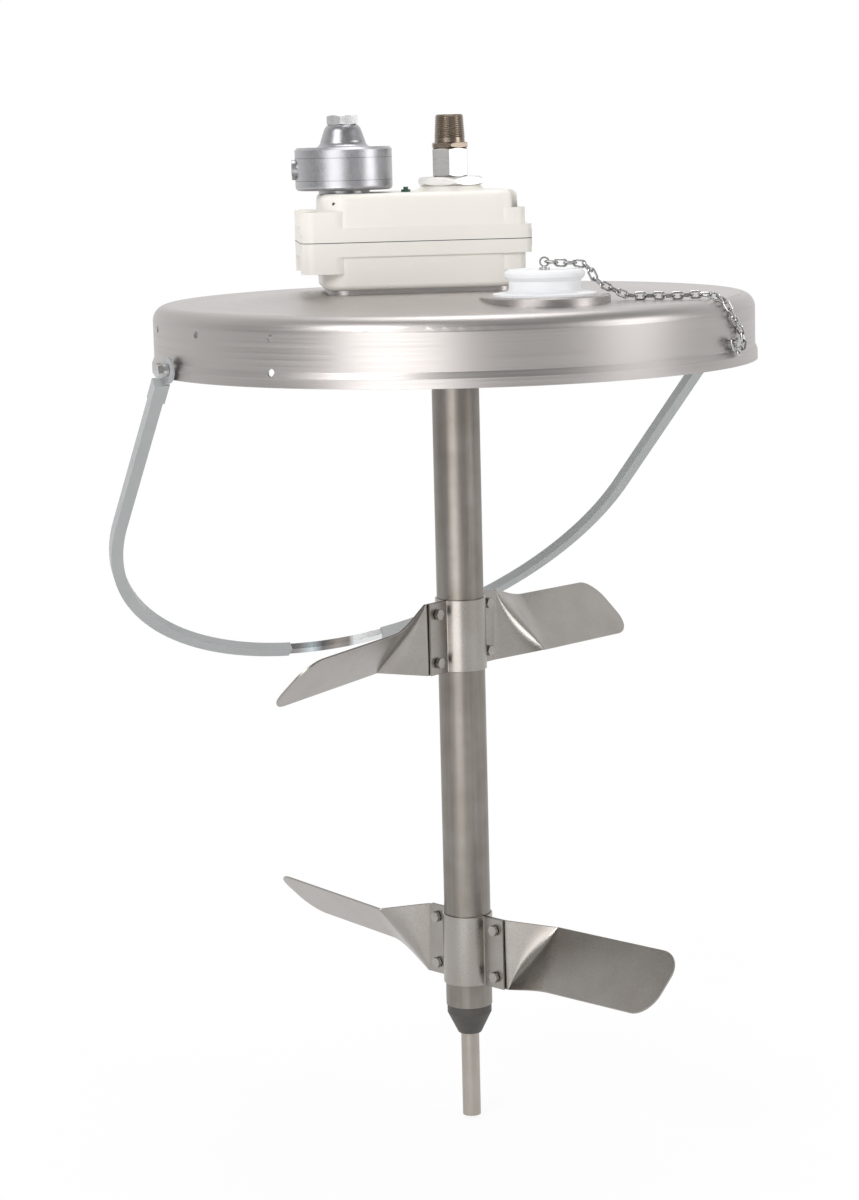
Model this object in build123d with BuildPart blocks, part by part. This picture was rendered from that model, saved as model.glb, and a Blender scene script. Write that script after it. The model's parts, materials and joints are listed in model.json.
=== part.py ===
from build123d import *
from math import acos, atan2, cos, degrees, hypot, pi, radians, sin, tan
import os

# Back-geared air agitator on a drum cover, with a siphon tube inside its hollow shaft.
# Millimetres, +Z up. The origin is on the shaft axis, at the underside of the flat land
# of the cover that seats on the chime of the drum. +X runs along the gearbox, from the
# air motor to the shaft.

os.makedirs("parts", exist_ok=True)

# --- Clearances and fits -------------------------------------------------------------
seat_gap = 0.05        # radial gap of a pressed or threaded piece in its seat
running_gap = 0.06     # radial gap of a journal
free_gap = 0.4         # between pieces that pass each other in motion

# --- Drum cover ----------------------------------------------------------------------
sheet = 1.2            # stainless sheet of the cover
skirt_radius = 302.5   # outside of the skirt
skirt_drop = 64.8      # from the seat land's underside to the bottom edge
corner_radius = 15.0
land_inner_radius = 270.0
crown_radius = 130.0   # flat middle of the crown
crown_rise = 8.0       # crown above the land
rim_flare = 2.5        # the bottom band stands out this far
rim_band = 9.0
flare_length = 6.0
hem_thickness = 2.6
shaft_hole_radius = 28.0
cover_hole_radius = 3.6
cover_hole_drop = 19.0     # upper row of skirt holes, below the land
cover_hole_angles = (-170, -150, -130)
vent_hole_angle = -130

# --- Fill port and its cap -----------------------------------------------------------
port_x, port_y = 70.0, -173.0
collar_radius = 62.5
collar_top = 10.2
collar_bore_radius = 38.0
plug_radius = 37.3
plug_depth = 24.0
cap_flange_radius = 49.5
cap_flange_thickness = 2.6
cap_neck_radius = 34.4
cap_neck_height = 15.4
cap_lip_radius = 38.4
cap_lip_height = 9.0
cap_wall = 4.0
ring_wire = 1.8            # O-ring section radius
eye_radius = 5.2
eye_wire = 1.6

# --- Chain ---------------------------------------------------------------------------
chain_wire = 1.6
link_inner_length = 10.3
link_inner_width = 4.6
link_gap = 1.2             # slack between two links
chain_rest = 0.85          # a lying link's corner above the sheet
hang_start, hang_end = -6.0, -30.0  # heights where the links turn square to the skirt
anchor_angle = -35.4       # of the screw that holds the chain to the skirt
anchor_drop = 40.0
anchor_shank_radius = 1.9
anchor_head_radius = 4.6
anchor_nut = 4.4           # half the flats and the height of the screw's nut

# --- Gearbox housing -----------------------------------------------------------------
pad_thickness = 4.0        # plate between cover and housing
pad_inset = 7.0
housing_left = -134.5
housing_right = 63.0
housing_half_width = 64.0
housing_half_height = 46.8
housing_corner = 26.0
housing_draft = 1.8
housing_wall = 6.0
housing_floor = 6.0
gasket_thickness = 0.8
flange_left = -155.0
flange_right = 74.0
flange_half_width = 65.6
flange_corner = 13.0
flange_depth = 13.5
lug_depth = 30.0
lug_width = 31.0
lug_right = 68.0
housing_screw_radius = 4.0
housing_screw_head_radius = 6.5
housing_screw_head = 8.0
boss_base_radius = 35.3
boss_top_radius = 29.9
boss_height = 4.9
cover_bolt_radius = 4.0
cover_bolt_depth = 14.0
cover_bolt_x = (-112.0, 40.0)
cover_bolt_y = 44.0

# --- Gear train ----------------------------------------------------------------------
pressure_angle = 25.0
backlash = 0.12            # taken off each tooth at its pitch circle
output_module, output_teeth, pinion_teeth = 2.0, 48, 14
input_module, idler_teeth, motor_teeth = 1.5, 48, 16
motor_offset = 107.0       # motor axis from shaft axis
output_face = 14.0
input_face = 12.0
face_excess = 1.0          # a pinion is this much wider than its gear
output_gear_z = 40.0
idler_gear_z = 60.0

# --- Bearings: bore radius, outer radius, width --------------------------------------
spindle_bearing = (17.5, 36.0, 17.0)
idler_bearing = (6.0, 16.0, 10.0)
motor_bearing = (6.0, 14.0, 8.0)
race = 0.3                 # share of the bearing's section in each ring
boss_wall = 5.0
seal_radius, seal_width = 26.0, 7.0

# --- Output spindle, agitator tube and siphon tube -----------------------------------
spindle_bore_radius = 11.0
spindle_top = 103.0
spindle_foot = 60.0        # length of the spindle's foot inside the tube
tube_radius = 24.13        # 1-1/2 in pipe
tube_wall = 3.68
tube_top = 5.0
tube_bottom = -737.0
siphon_radius = 9.525      # 3/4 in tube
siphon_wall = 1.65
siphon_top = 139.0
siphon_bottom = -858.6
bushing_radius = 23.2
bushing_collar = 9.0
bushing_cone = 22.0
bushing_tip_radius = 12.4
bushing_spigot = 38.0

# --- Siphon fittings on the gearbox --------------------------------------------------
nut_flats = 60.3
nut_height = 8.9
nut_stem_radius, nut_stem_length = 21.0, 7.5
coupling_flats = 34.0
coupling_length = 28.2
adapter_hex_height = 5.6
nipple_length = 27.5
nipple_base_radius, nipple_top_radius = 15.2, 13.4

# --- Air motor -----------------------------------------------------------------------
motor_radius = 48.5
motor_neck_radius, motor_neck_height = 25.6, 3.1
lower_plate_height = 9.8
cylinder_height = 22.2
upper_plate_height = 10.4
chamber_radius = 31.0
chamber_offset = 2.6       # of the chamber's axis from the rotor's
rotor_radius = 28.0
rotor_end_gap = 0.3
vane_count = 4
vane_width, vane_depth = 3.0, 14.0
motor_shaft_radius = 6.0
motor_pilot_radius = 15.0
motor_screw_circle = 41.0
motor_screw_radius = 2.5
mount_screw_circle = 20.0
hub_base_radius, hub_top_radius, hub_height = 25.8, 16.0, 21.6
hub_bore_radius = 12.0
bearing_cap_flats, bearing_cap_height = 28.8, 9.9
port_radius = 6.6          # 1/4 in pipe tap
port_boss_radius = 10.0
port_boss_height = 3.2
port_depth = 12.0
exhaust_angle = 65.0
vent_plug_x, vent_plug_y = -47.5, -25.0

# --- Propellers ----------------------------------------------------------------------
blade_sheet = 1.9
blade_width = 74.0
blade_tip_radius = 276.0
blade_pitch = 46.2
blade_yaw = -3.6
blade_droop = -2.3
blade_offset = 14.2        # of the blade's middle line in front of the shaft's axis
blade_lift = -0.65
clamp_gap = 3.0            # between the two flanges that the screws draw together
small_flange = 53.0
root_flange = 54.5
near_fold, far_fold = 97.0, 120.0
tip_rounding = 27.0
clamp_screw_radius = 3.0
clamp_screw_x = 42.0
clamp_screw_z = 25.0
upper_blades_z, upper_blades_angle = -342.6, 46.2
lower_blades_z, lower_blades_angle = -675.8, -50.6

# --- Bail ----------------------------------------------------------------------------
bail_angle = 20.6          # of the pivot axis in plan
bail_swing = 47.3          # from hanging straight down, in the rest pose
pivot_z = -55.0
bail_pivot_radius = 313.5  # from the shaft's axis to the middle of each leg
bail_arc_radius = 298.7
bail_arc_depth = 236.0
bail_channel_width = 12.8
bail_channel_depth = 10.0
bail_wall = 1.6
grip_from, grip_to = 73.0, 95.0     # the gap between the channels, as angles of the arc
grip_lap = 3.0
grip_depth, grip_wall = 7.6, 1.8
ear_radius = 12.5
ear_inner = 307.2          # inner face of the ear's plate from the shaft's axis
ear_thickness = 2.5
ear_end = 21.0             # where the channel starts, from the pivot along the leg
ear_length = 46.0
saddle_wall, saddle_end = 1.2, 4.0
pivot_bolt_radius = 4.0
pivot_shoulder_radius = 6.2
pivot_boss_radius = 8.0
pivot_head_flats = 13.0
pivot_head_height = 5.5
bolt_seat = 316.0
bolt_tip = 296.5
boss_start = 0.1

# --- Levels that follow --------------------------------------------------------------
crown_top = crown_rise + sheet
housing_base = crown_top + pad_thickness
parting_z = housing_base + housing_half_height
upper_base = parting_z + gasket_thickness
housing_top = upper_base + housing_half_height
boss_top = housing_top + boss_height
nut_top = boss_top + nut_height
coupling_top = nut_top + coupling_length
adapter_top = coupling_top + adapter_hex_height
nipple_top = adapter_top + nipple_length
plate_base = housing_top + motor_neck_height
cylinder_base = plate_base + lower_plate_height
cylinder_top = cylinder_base + cylinder_height
hub_base = cylinder_top + upper_plate_height
hub_top = hub_base + hub_height

lower_spindle_bearing_z = housing_base + seal_width
upper_spindle_bearing_z = housing_top - housing_floor - spindle_bearing[2]
lower_idler_bearing_z = housing_base + housing_floor + 3
upper_idler_bearing_z = housing_top - housing_floor - idler_bearing[2]

# The idler stands where both gear pairs keep their centre distances.
output_distance = output_module * (output_teeth + pinion_teeth) / 2
input_distance = input_module * (idler_teeth + motor_teeth) / 2
idler_x = -(motor_offset**2 + output_distance**2 - input_distance**2) / (2 * motor_offset)
idler_y = (output_distance**2 - idler_x**2) ** 0.5


cover_bolt_points = [(x, side * cover_bolt_y, 0) for x in cover_bolt_x for side in (-1, 1)]
housing_screw_points = [
    ((flange_left + housing_left) / 2 + 2, side * (flange_half_width - lug_width / 2)) for side in (-1, 1)
]
housing_screw_points += [
    (housing_right - 5, side * (flange_half_width - lug_width / 2)) for side in (-1, 1)
]


# --- Helpers -------------------------------------------------------------------------
def gear_points(module, teeth, first_angle):
    """Corners of an involute spur gear with a tooth centred on first_angle (degrees)."""
    alpha = radians(pressure_angle)
    pitch = module * teeth / 2
    base = pitch * cos(alpha)
    tip, root = pitch + module, pitch - 1.25 * module
    half_pitch = pi / (2 * teeth) - backlash / (2 * pitch)
    start = max(base, root)
    flank = []
    for step in range(4):
        radius = start + (tip - start) * step / 3
        roll = acos(base / radius)
        flank.append((radius, half_pitch + tan(alpha) - alpha - tan(roll) + roll))
    if root < base:
        flank.insert(0, (root, flank[0][1]))
    points = []
    for tooth in range(teeth):
        centre = radians(first_angle) + tooth * 2 * pi / teeth
        sides = [(radius, centre - half) for radius, half in flank]
        sides += [(radius, centre + half) for radius, half in reversed(flank)]
        points += [(radius * cos(angle), radius * sin(angle)) for radius, angle in sides]
    return points


def dome_height(radius):
    """Top of the cover's sheet at a distance from the axis, on two equal arcs."""
    share = (radius - crown_radius) / (land_inner_radius - crown_radius)
    share = min(max(share, 0), 1)
    fall = 2 * share**2 if share < 0.5 else 1 - 2 * (1 - share) ** 2
    return sheet + crown_rise * (1 - fall)


# --- Drum cover ----------------------------------------------------------------------
rim_radius = skirt_radius + rim_flare
band_top = rim_band - skirt_drop
with BuildPart() as drum_cover:
    with BuildSketch(Plane.XZ):
        with BuildLine():
            middle_radius = (crown_radius + land_inner_radius) / 2
            Line((shaft_hole_radius, crown_top), (crown_radius, crown_top))
            fall = TangentArc(
                (crown_radius, crown_top), (middle_radius, sheet + crown_rise / 2), tangent=(1, 0)
            )
            TangentArc(fall @ 1, (land_inner_radius, sheet), tangent=fall % 1)
            Line((land_inner_radius, sheet), (skirt_radius - corner_radius, sheet))
            corner = TangentArc(
                (skirt_radius - corner_radius, sheet),
                (skirt_radius, sheet - corner_radius),
                tangent=(1, 0),
            )
            Polyline(
                corner @ 1,
                (skirt_radius, band_top + flare_length),
                (rim_radius, band_top),
                (rim_radius, -skirt_drop),
                (rim_radius - hem_thickness, -skirt_drop),
                (rim_radius - hem_thickness, band_top),
                (skirt_radius - sheet, band_top + flare_length),
                (skirt_radius - sheet, sheet - corner_radius),
            )
            TangentArc(
                (skirt_radius - sheet, sheet - corner_radius),
                (skirt_radius - corner_radius, 0),
                tangent=(0, 1),
            )
            Line((skirt_radius - corner_radius, 0), (land_inner_radius, 0))
            rise = TangentArc(
                (land_inner_radius, 0), (middle_radius, crown_rise / 2), tangent=(-1, 0)
            )
            TangentArc(rise @ 1, (crown_radius, crown_rise), tangent=rise % 1)
            Polyline(
                (crown_radius, crown_rise),
                (shaft_hole_radius, crown_rise),
                (shaft_hole_radius, crown_top),
            )
        make_face()
    revolve(axis=Axis.Z)
    with Locations((port_x, port_y, 0)):
        Hole(collar_bore_radius)
    with Locations(*cover_bolt_points):
        Hole(cover_bolt_radius + seat_gap)
    skirt_holes = [(angle, -cover_hole_drop, cover_hole_radius) for angle in cover_hole_angles]
    skirt_holes.append((vent_hole_angle, pivot_z + 4, cover_hole_radius))
    skirt_holes.append((anchor_angle, -anchor_drop, anchor_shank_radius + seat_gap))
    skirt_holes += [
        (angle, pivot_z, pivot_bolt_radius + running_gap)
        for angle in (bail_angle, bail_angle + 180)
    ]
    for angle, height, radius in skirt_holes:
        bore_plane = Plane(
            origin=(0, 0, height), x_dir=(0, 0, 1), z_dir=(cos(radians(angle)), sin(radians(angle)), 0)
        )
        with BuildSketch(bore_plane.offset(skirt_radius - 12)):
            Circle(radius)
        extrude(amount=24, mode=Mode.SUBTRACT)
drum_cover.part.label = "drum_cover"
export_step(drum_cover.part, "parts/drum_cover.step")

# --- Mounting pad and cover bolts ----------------------------------------------------
footprint_length = housing_right - housing_left
footprint_x = (housing_right + housing_left) / 2
with BuildPart() as mounting_pad:
    with BuildSketch(Plane.XY.offset(crown_top)):
        with Locations((footprint_x, 0)):
            RectangleRounded(
                footprint_length - 2 * pad_inset,
                2 * (housing_half_width - pad_inset),
                housing_corner - pad_inset,
            )
        Circle(shaft_hole_radius, mode=Mode.SUBTRACT)
        with Locations(*cover_bolt_points):
            Circle(cover_bolt_radius + seat_gap, mode=Mode.SUBTRACT)
    extrude(amount=pad_thickness)
mounting_pad.part.label = "mounting_pad"
export_step(mounting_pad.part, "parts/mounting_pad.step")

with BuildPart() as cover_bolts:
    with BuildSketch(Plane.XY.offset(crown_rise)):
        with Locations(*cover_bolt_points):
            Circle(cover_bolt_radius)
    extrude(amount=sheet + pad_thickness + cover_bolt_depth)
    with BuildSketch(Plane.XY.offset(crown_rise)):
        with Locations(*cover_bolt_points):
            Circle(2.2 * cover_bolt_radius)
    extrude(amount=-1.6)
    with BuildSketch(Plane.XY.offset(crown_rise - 1.6)):
        with Locations(*cover_bolt_points):
            RegularPolygon(1.63 * cover_bolt_radius, 6, major_radius=False)
    extrude(amount=-1.3 * cover_bolt_radius)
cover_bolts.part.label = "cover_bolts"
export_step(cover_bolts.part, "parts/cover_bolts.step")

# --- Fill port -----------------------------------------------------------------------
port_plane = Plane(origin=(port_x, port_y, 0))
with BuildPart() as fill_collar:
    with BuildSketch(port_plane.offset(-4)):
        Circle(collar_radius)
        Circle(collar_bore_radius, mode=Mode.SUBTRACT)
    extrude(amount=collar_top + 4)
    chamfer(fill_collar.edges().filter_by(GeomType.CIRCLE).sort_by(Axis.Z)[-2:], 1.2)
    # Under the collar everything down from the top of the sheet is the cover's.
    with BuildSketch(Plane.XZ, mode=Mode.PRIVATE) as under_crown:
        with BuildLine():
            Line((0, crown_top), (crown_radius, crown_top))
            drop = TangentArc(
                (crown_radius, crown_top), (middle_radius, sheet + crown_rise / 2), tangent=(1, 0)
            )
            TangentArc(drop @ 1, (land_inner_radius, sheet), tangent=drop % 1)
            Polyline(
                (land_inner_radius, sheet), (skirt_radius, sheet), (skirt_radius, -8), (0, -8), (0, crown_top)
            )
        make_face()
    revolve(under_crown.sketch, axis=Axis.Z, mode=Mode.SUBTRACT)
fill_collar.part.label = "fill_collar"
export_step(fill_collar.part, "parts/fill_collar.step")

cap_base = collar_top
lip_base = cap_base + cap_neck_height
cap_top = lip_base + cap_lip_height
groove_z = collar_top - 8
ring_centre = collar_bore_radius - free_gap - ring_wire
groove_radius = ring_centre - ring_wire
with BuildPart() as fill_cap:
    with BuildSketch(Plane(origin=(port_x, port_y, 0), x_dir=(1, 0, 0), z_dir=(0, -1, 0))):
        with BuildLine():
            Polyline(
                (0, cap_base + 8),
                (cap_neck_radius - cap_wall, cap_base + 8),
                (cap_neck_radius - cap_wall, cap_base - plug_depth),
                (plug_radius, cap_base - plug_depth),
                (plug_radius, groove_z - ring_wire),
                (groove_radius, groove_z - ring_wire),
                (groove_radius, groove_z + ring_wire),
                (plug_radius, groove_z + ring_wire),
                (plug_radius, cap_base),
                (cap_flange_radius, cap_base),
                (cap_flange_radius, cap_base + cap_flange_thickness * 0.7),
                (cap_neck_radius + 2, cap_base + cap_flange_thickness + 1.2),
                (cap_neck_radius, cap_base + cap_flange_thickness + 3.0),
                (cap_neck_radius, lip_base - 1.5),
                (cap_lip_radius - 2, lip_base),
                (cap_lip_radius, lip_base + 2.5),
                (cap_lip_radius, cap_top - 3.5),
                (cap_lip_radius - 1.2, cap_top - 1.2),
                (cap_lip_radius - 4, cap_top),
                (cap_lip_radius - 7, cap_top),
                (cap_lip_radius - 9, cap_top - 0.8),
                (0, cap_top - 0.8),
                close=True,
            )
        make_face()
    revolve(axis=Axis((port_x, port_y, 0), (0, 0, 1)))
fill_cap.part.label = "fill_cap"
export_step(fill_cap.part, "parts/fill_cap.step")

with BuildPart() as cap_o_ring:
    with BuildSketch(Plane(origin=(port_x, port_y, 0), x_dir=(1, 0, 0), z_dir=(0, -1, 0))):
        with Locations((ring_centre, groove_z)):
            RegularPolygon(ring_wire * 0.98, 8)
    revolve(axis=Axis((port_x, port_y, 0), (0, 0, 1)))
cap_o_ring.part.label = "cap_o_ring"
export_step(cap_o_ring.part, "parts/cap_o_ring.step")

# A screw eye in the middle of the cap: collar, stem and a ring for the first link.
eye_z = cap_top - 0.8
ring_eye_radius = 4.2
ring_eye_z = eye_z + 3.4 + ring_eye_radius
with BuildPart() as cap_eye:
    with BuildSketch(port_plane.offset(eye_z)):
        Circle(eye_radius)
    extrude(amount=2.4)
    with BuildSketch(port_plane.offset(eye_z + 2.4)):
        Circle(2.4)
    extrude(amount=1.5)
    eye_plane = Plane(
        origin=(port_x, port_y, ring_eye_z), x_dir=(1, 0, 0), z_dir=(0, -1, 0)
    )
    with BuildSketch(eye_plane.offset(-eye_wire / 2)):
        Circle(ring_eye_radius + eye_wire / 2)
        Circle(ring_eye_radius - eye_wire / 2, mode=Mode.SUBTRACT)
    extrude(amount=eye_wire)
cap_eye.part.label = "cap_eye"
export_step(cap_eye.part, "parts/cap_eye.step")

# --- Chain ---------------------------------------------------------------------------
# The chain's line: off the eye, over the cap's lip, across the crown and down the skirt.
link_width = link_inner_width + 2 * chain_wire
on_sheet = (link_width + chain_wire) / 2 / 2**0.5 + chain_rest
over_cap = cap_top + on_sheet
lip_x = port_x + cap_lip_radius
collar_x = port_x + collar_radius
link_pitch = link_inner_length - link_gap


def over_crown(x, y, lift=0):
    return (x, y, dome_height(hypot(x, y)) + on_sheet + lift)


def round_corner(side_turn, angle):
    """Past the rounded edge of the cover; turns are degrees from the chain's screw."""
    reach = corner_radius + on_sheet
    radius = skirt_radius - corner_radius + reach * cos(radians(angle))
    plan = radians(anchor_angle + side_turn)
    height = sheet - corner_radius + reach * sin(radians(angle))
    return (radius * cos(plan), radius * sin(plan), height)


def beside_skirt(side_turn, height, lift=0):
    radius = skirt_radius + on_sheet + lift
    plan = radians(anchor_angle + side_turn)
    return (radius * cos(plan), radius * sin(plan), height)


chain_route = [
    (port_x + 2.2, port_y, ring_eye_z),
    (port_x + 12, port_y - 1, ring_eye_z - 1.0),
    (port_x + 22, port_y - 1, over_cap + 1.0),
    (lip_x - 10, port_y - 1, over_cap + 0.9),
    (lip_x - 1, port_y - 1, over_cap - 0.3),
    (lip_x + 5.4, port_y - 1.5, over_cap - 6),
    (lip_x + 9, port_y - 1.5, over_cap - 14),
    (collar_x - 9, port_y - 1, collar_top + on_sheet + 5),
    (collar_x, port_y, collar_top + on_sheet + 0.6),
    over_crown(collar_x + 16, port_y + 3, 0.8),
    over_crown(170, -168),
    over_crown(200, -169),
    round_corner(-1.2, 90),
    round_corner(-1.2, 60),
    round_corner(-0.9, 30),
    round_corner(-0.3, 2),
    beside_skirt(1.4, -21),
    beside_skirt(3.4, -28),
    beside_skirt(4.4, -37, 0.8),
    beside_skirt(3.9, -46, 1.6),
    beside_skirt(2.3, -anchor_drop - 10.5, 1.6),
    beside_skirt(0.6, -anchor_drop - 7.5, 1.0),
    beside_skirt(-0.16, -anchor_drop + anchor_shank_radius),
]
chain_line = Spline(*chain_route)
link_count = round(chain_line.length / link_pitch)
link_ends = [Vector(*(chain_line @ (step / link_count))) for step in range(link_count + 1)]
with BuildPart() as chain:
    for step in range(link_count):
        along = link_ends[step + 1] - link_ends[step]
        middle = (link_ends[step + 1] + link_ends[step]) / 2
        # Links lie at 45 degrees each way on the cover and turn square to the skirt.
        lying = min(max((middle.Z - hang_end) / (hang_start - hang_end), 0), 1)
        outward = Vector(middle.X, middle.Y, 0).normalized() + Vector(0, 0, 1.5 * lying)
        across = along.cross(outward).normalized()
        upward = across.cross(along).normalized()
        tilt = radians(-45 * lying + 90 * ((link_count - 1 - step) % 2))
        face = upward * cos(tilt) + across * sin(tilt)
        link_plane = Plane(origin=middle, x_dir=along, z_dir=face)
        with BuildSketch(link_plane.offset(-chain_wire / 2)):
            SlotOverall(link_inner_length + 2 * chain_wire, link_width)
            SlotOverall(link_inner_length, link_inner_width, mode=Mode.SUBTRACT)
        extrude(amount=chain_wire)
chain.part.label = "chain"
export_step(chain.part, "parts/chain.step")

anchor_plane = Plane(
    origin=(
        skirt_radius * cos(radians(anchor_angle)), skirt_radius * sin(radians(anchor_angle)), -anchor_drop
    ),
    x_dir=(0, 0, 1),
    z_dir=(cos(radians(anchor_angle)), sin(radians(anchor_angle)), 0),
)
anchor_reach = on_sheet + link_width / 2 + free_gap
with BuildPart() as chain_screw:
    with BuildSketch(anchor_plane.offset(-sheet - anchor_nut)):
        Circle(anchor_shank_radius)
    extrude(amount=sheet + anchor_nut + anchor_reach)
    with BuildSketch(anchor_plane.offset(anchor_reach)):
        Circle(anchor_head_radius)
    extrude(amount=2.6)
    chamfer(chain_screw.faces().sort_by(Axis((0, 0, 0), anchor_plane.z_dir))[-1].edges(), 0.8)
    with BuildSketch(anchor_plane.offset(-sheet - free_gap)):
        RegularPolygon(anchor_nut, 6, major_radius=False)
    extrude(amount=free_gap - anchor_nut)
chain_screw.part.label = "chain_screw"
export_step(chain_screw.part, "parts/chain_screw.step")

# --- Gearbox housing -----------------------------------------------------------------
flange_length = flange_right - flange_left
flange_x = (flange_right + flange_left) / 2
cavity_length = footprint_length - 2 * housing_wall
cavity_half_width = housing_half_width - housing_wall
lug_left_length = housing_corner + housing_left - flange_left
lug_right_length = housing_corner + lug_right - housing_right


def housing_half(split_z, height):
    """Outside and cavity of one half, from the parting plane up (or down where height < 0)."""
    side = 1 if height > 0 else -1
    parting = Plane.XY.offset(split_z)
    with BuildPart() as half:
        with BuildSketch(parting):
            with Locations((footprint_x, 0)):
                RectangleRounded(footprint_length, 2 * housing_half_width, housing_corner)
        extrude(amount=height, taper=housing_draft)
        fillet(half.faces().sort_by(Axis.Z)[-1 if side > 0 else 0].edges(), housing_wall)
        with BuildSketch(parting):
            with Locations((flange_x, 0)):
                RectangleRounded(flange_length, 2 * flange_half_width, flange_corner)
        extrude(amount=side * flange_depth)
        with BuildSketch(parting):
            lug_y = flange_half_width - lug_width / 2
            with Locations(*[(flange_left + lug_left_length / 2, end * lug_y) for end in (-1, 1)]):
                RectangleRounded(lug_left_length, lug_width, flange_corner)
            with Locations(*[(lug_right - lug_right_length / 2, end * (lug_y - 3)) for end in (-1, 1)]):
                RectangleRounded(lug_right_length, lug_width, flange_corner)
        extrude(amount=side * lug_depth)
        with BuildSketch(parting):
            with Locations((footprint_x, 0)):
                RectangleRounded(cavity_length, 2 * cavity_half_width, housing_corner - housing_wall)
            with Locations(*housing_screw_points):
                Circle(housing_screw_radius + housing_wall, mode=Mode.SUBTRACT)
        extrude(amount=side * (abs(height) - housing_floor), mode=Mode.SUBTRACT)
        # Pry slots across the joint, one at each end.
        with BuildSketch(parting):
            with Locations((flange_left, -flange_half_width + 9), (flange_right, -flange_half_width + 9)):
                Rectangle(7, 4)
        extrude(amount=side * 8, mode=Mode.SUBTRACT)
    return half.part


def bearing_boss(x, y, bearing, z, opening):
    """Post and seat of a bearing; opening is +1 where the seat opens upwards."""
    outer = bearing[1] + boss_wall
    ends = (housing_base, z + bearing[2]) if opening > 0 else (z, housing_top)
    with BuildPart() as boss:
        with BuildSketch(Plane(origin=(x, y, ends[0]))):
            Circle(outer)
        extrude(amount=ends[1] - ends[0])
    return boss.part


def bearing_seat(x, y, bearing, z):
    with BuildPart() as seat:
        with BuildSketch(Plane(origin=(x, y, z))):
            Circle(bearing[1] + seat_gap)
        extrude(amount=bearing[2])
    return seat.part


lower_shell = housing_half(parting_z, -housing_half_height)
lower_bosses = [
    bearing_boss(0, 0, spindle_bearing, lower_spindle_bearing_z, 1),
    bearing_boss(idler_x, idler_y, idler_bearing, lower_idler_bearing_z, 1),
]
lower_seats = [
    bearing_seat(0, 0, spindle_bearing, lower_spindle_bearing_z),
    bearing_seat(idler_x, idler_y, idler_bearing, lower_idler_bearing_z),
]
with BuildPart() as gear_housing_lower:
    add(lower_shell)
    add(lower_bosses)
    with Locations(*[Location((x, y, housing_base)) for x, y, _ in cover_bolt_points]):
        Cylinder(2 * cover_bolt_radius, cover_bolt_depth + 4, align=(Align.CENTER, Align.CENTER, Align.MIN))
    add(lower_seats, mode=Mode.SUBTRACT)
    with BuildSketch(Plane.XY.offset(housing_base)):
        Circle(seal_radius + seat_gap)
        with Locations(*cover_bolt_points):
            Circle(cover_bolt_radius + seat_gap)
    extrude(amount=seal_width, mode=Mode.SUBTRACT)
    with BuildSketch(Plane.XY.offset(housing_base)):
        with Locations(*cover_bolt_points):
            Circle(cover_bolt_radius + seat_gap)
    extrude(amount=cover_bolt_depth + 1, mode=Mode.SUBTRACT)
    with BuildSketch(Plane.XY.offset(parting_z)):
        with Locations(*housing_screw_points):
            Circle(housing_screw_radius + seat_gap)
    extrude(amount=-lug_depth + 4, mode=Mode.SUBTRACT)
gear_housing_lower.part.label = "gear_housing_lower"
export_step(gear_housing_lower.part, "parts/gear_housing_lower.step")

upper_shell = housing_half(upper_base, housing_half_height)
upper_bosses = [
    bearing_boss(0, 0, spindle_bearing, upper_spindle_bearing_z, -1),
    bearing_boss(idler_x, idler_y, idler_bearing, upper_idler_bearing_z, -1),
]
upper_seats = [
    bearing_seat(0, 0, spindle_bearing, upper_spindle_bearing_z),
    bearing_seat(idler_x, idler_y, idler_bearing, upper_idler_bearing_z),
]
mount_screw_points = [
    (-motor_offset + mount_screw_circle * cos(radians(angle)), mount_screw_circle * sin(radians(angle)))
    for angle in (30, 150, 270)
]
with BuildPart() as gear_housing_upper:
    add(upper_shell)
    add(upper_bosses)
    with BuildSketch(Plane.XY.offset(housing_top)):
        Circle(boss_base_radius)
    with BuildSketch(Plane.XY.offset(boss_top)):
        Circle(boss_top_radius)
    loft()
    fillet(gear_housing_upper.faces().sort_by(Axis.Z)[-1].edges(), 1.5)
    add(upper_seats, mode=Mode.SUBTRACT)
    with BuildSketch(Plane.XY.offset(boss_top)):
        Circle(nut_stem_radius + seat_gap)
    extrude(amount=-(boss_top - upper_spindle_bearing_z), mode=Mode.SUBTRACT)
    with BuildSketch(Plane.XY.offset(housing_top)):
        with Locations((-motor_offset, 0)):
            Circle(motor_pilot_radius + seat_gap)
        with Locations(*mount_screw_points):
            Circle(motor_screw_radius + seat_gap)
        with Locations((vent_plug_x, vent_plug_y)):
            Circle(3 + seat_gap)
    extrude(amount=-housing_floor, mode=Mode.SUBTRACT)
    with BuildSketch(Plane.XY.offset(upper_base)):
        with Locations(*housing_screw_points):
            Circle(housing_screw_radius + seat_gap)
    extrude(amount=lug_depth, mode=Mode.SUBTRACT)
    with BuildSketch(Plane.XY.offset(upper_base + lug_depth - housing_screw_head)):
        with Locations(*housing_screw_points):
            Circle(housing_screw_head_radius + 0.5)
    extrude(amount=housing_half_height, mode=Mode.SUBTRACT)
    with BuildSketch(Plane.XZ.offset(housing_half_width + 1)):
        with Locations((-122.0, housing_top - 8.5)):
            Circle(1.8)
    extrude(amount=-6, mode=Mode.SUBTRACT)
gear_housing_upper.part.label = "gear_housing_upper"
export_step(gear_housing_upper.part, "parts/gear_housing_upper.step")

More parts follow.
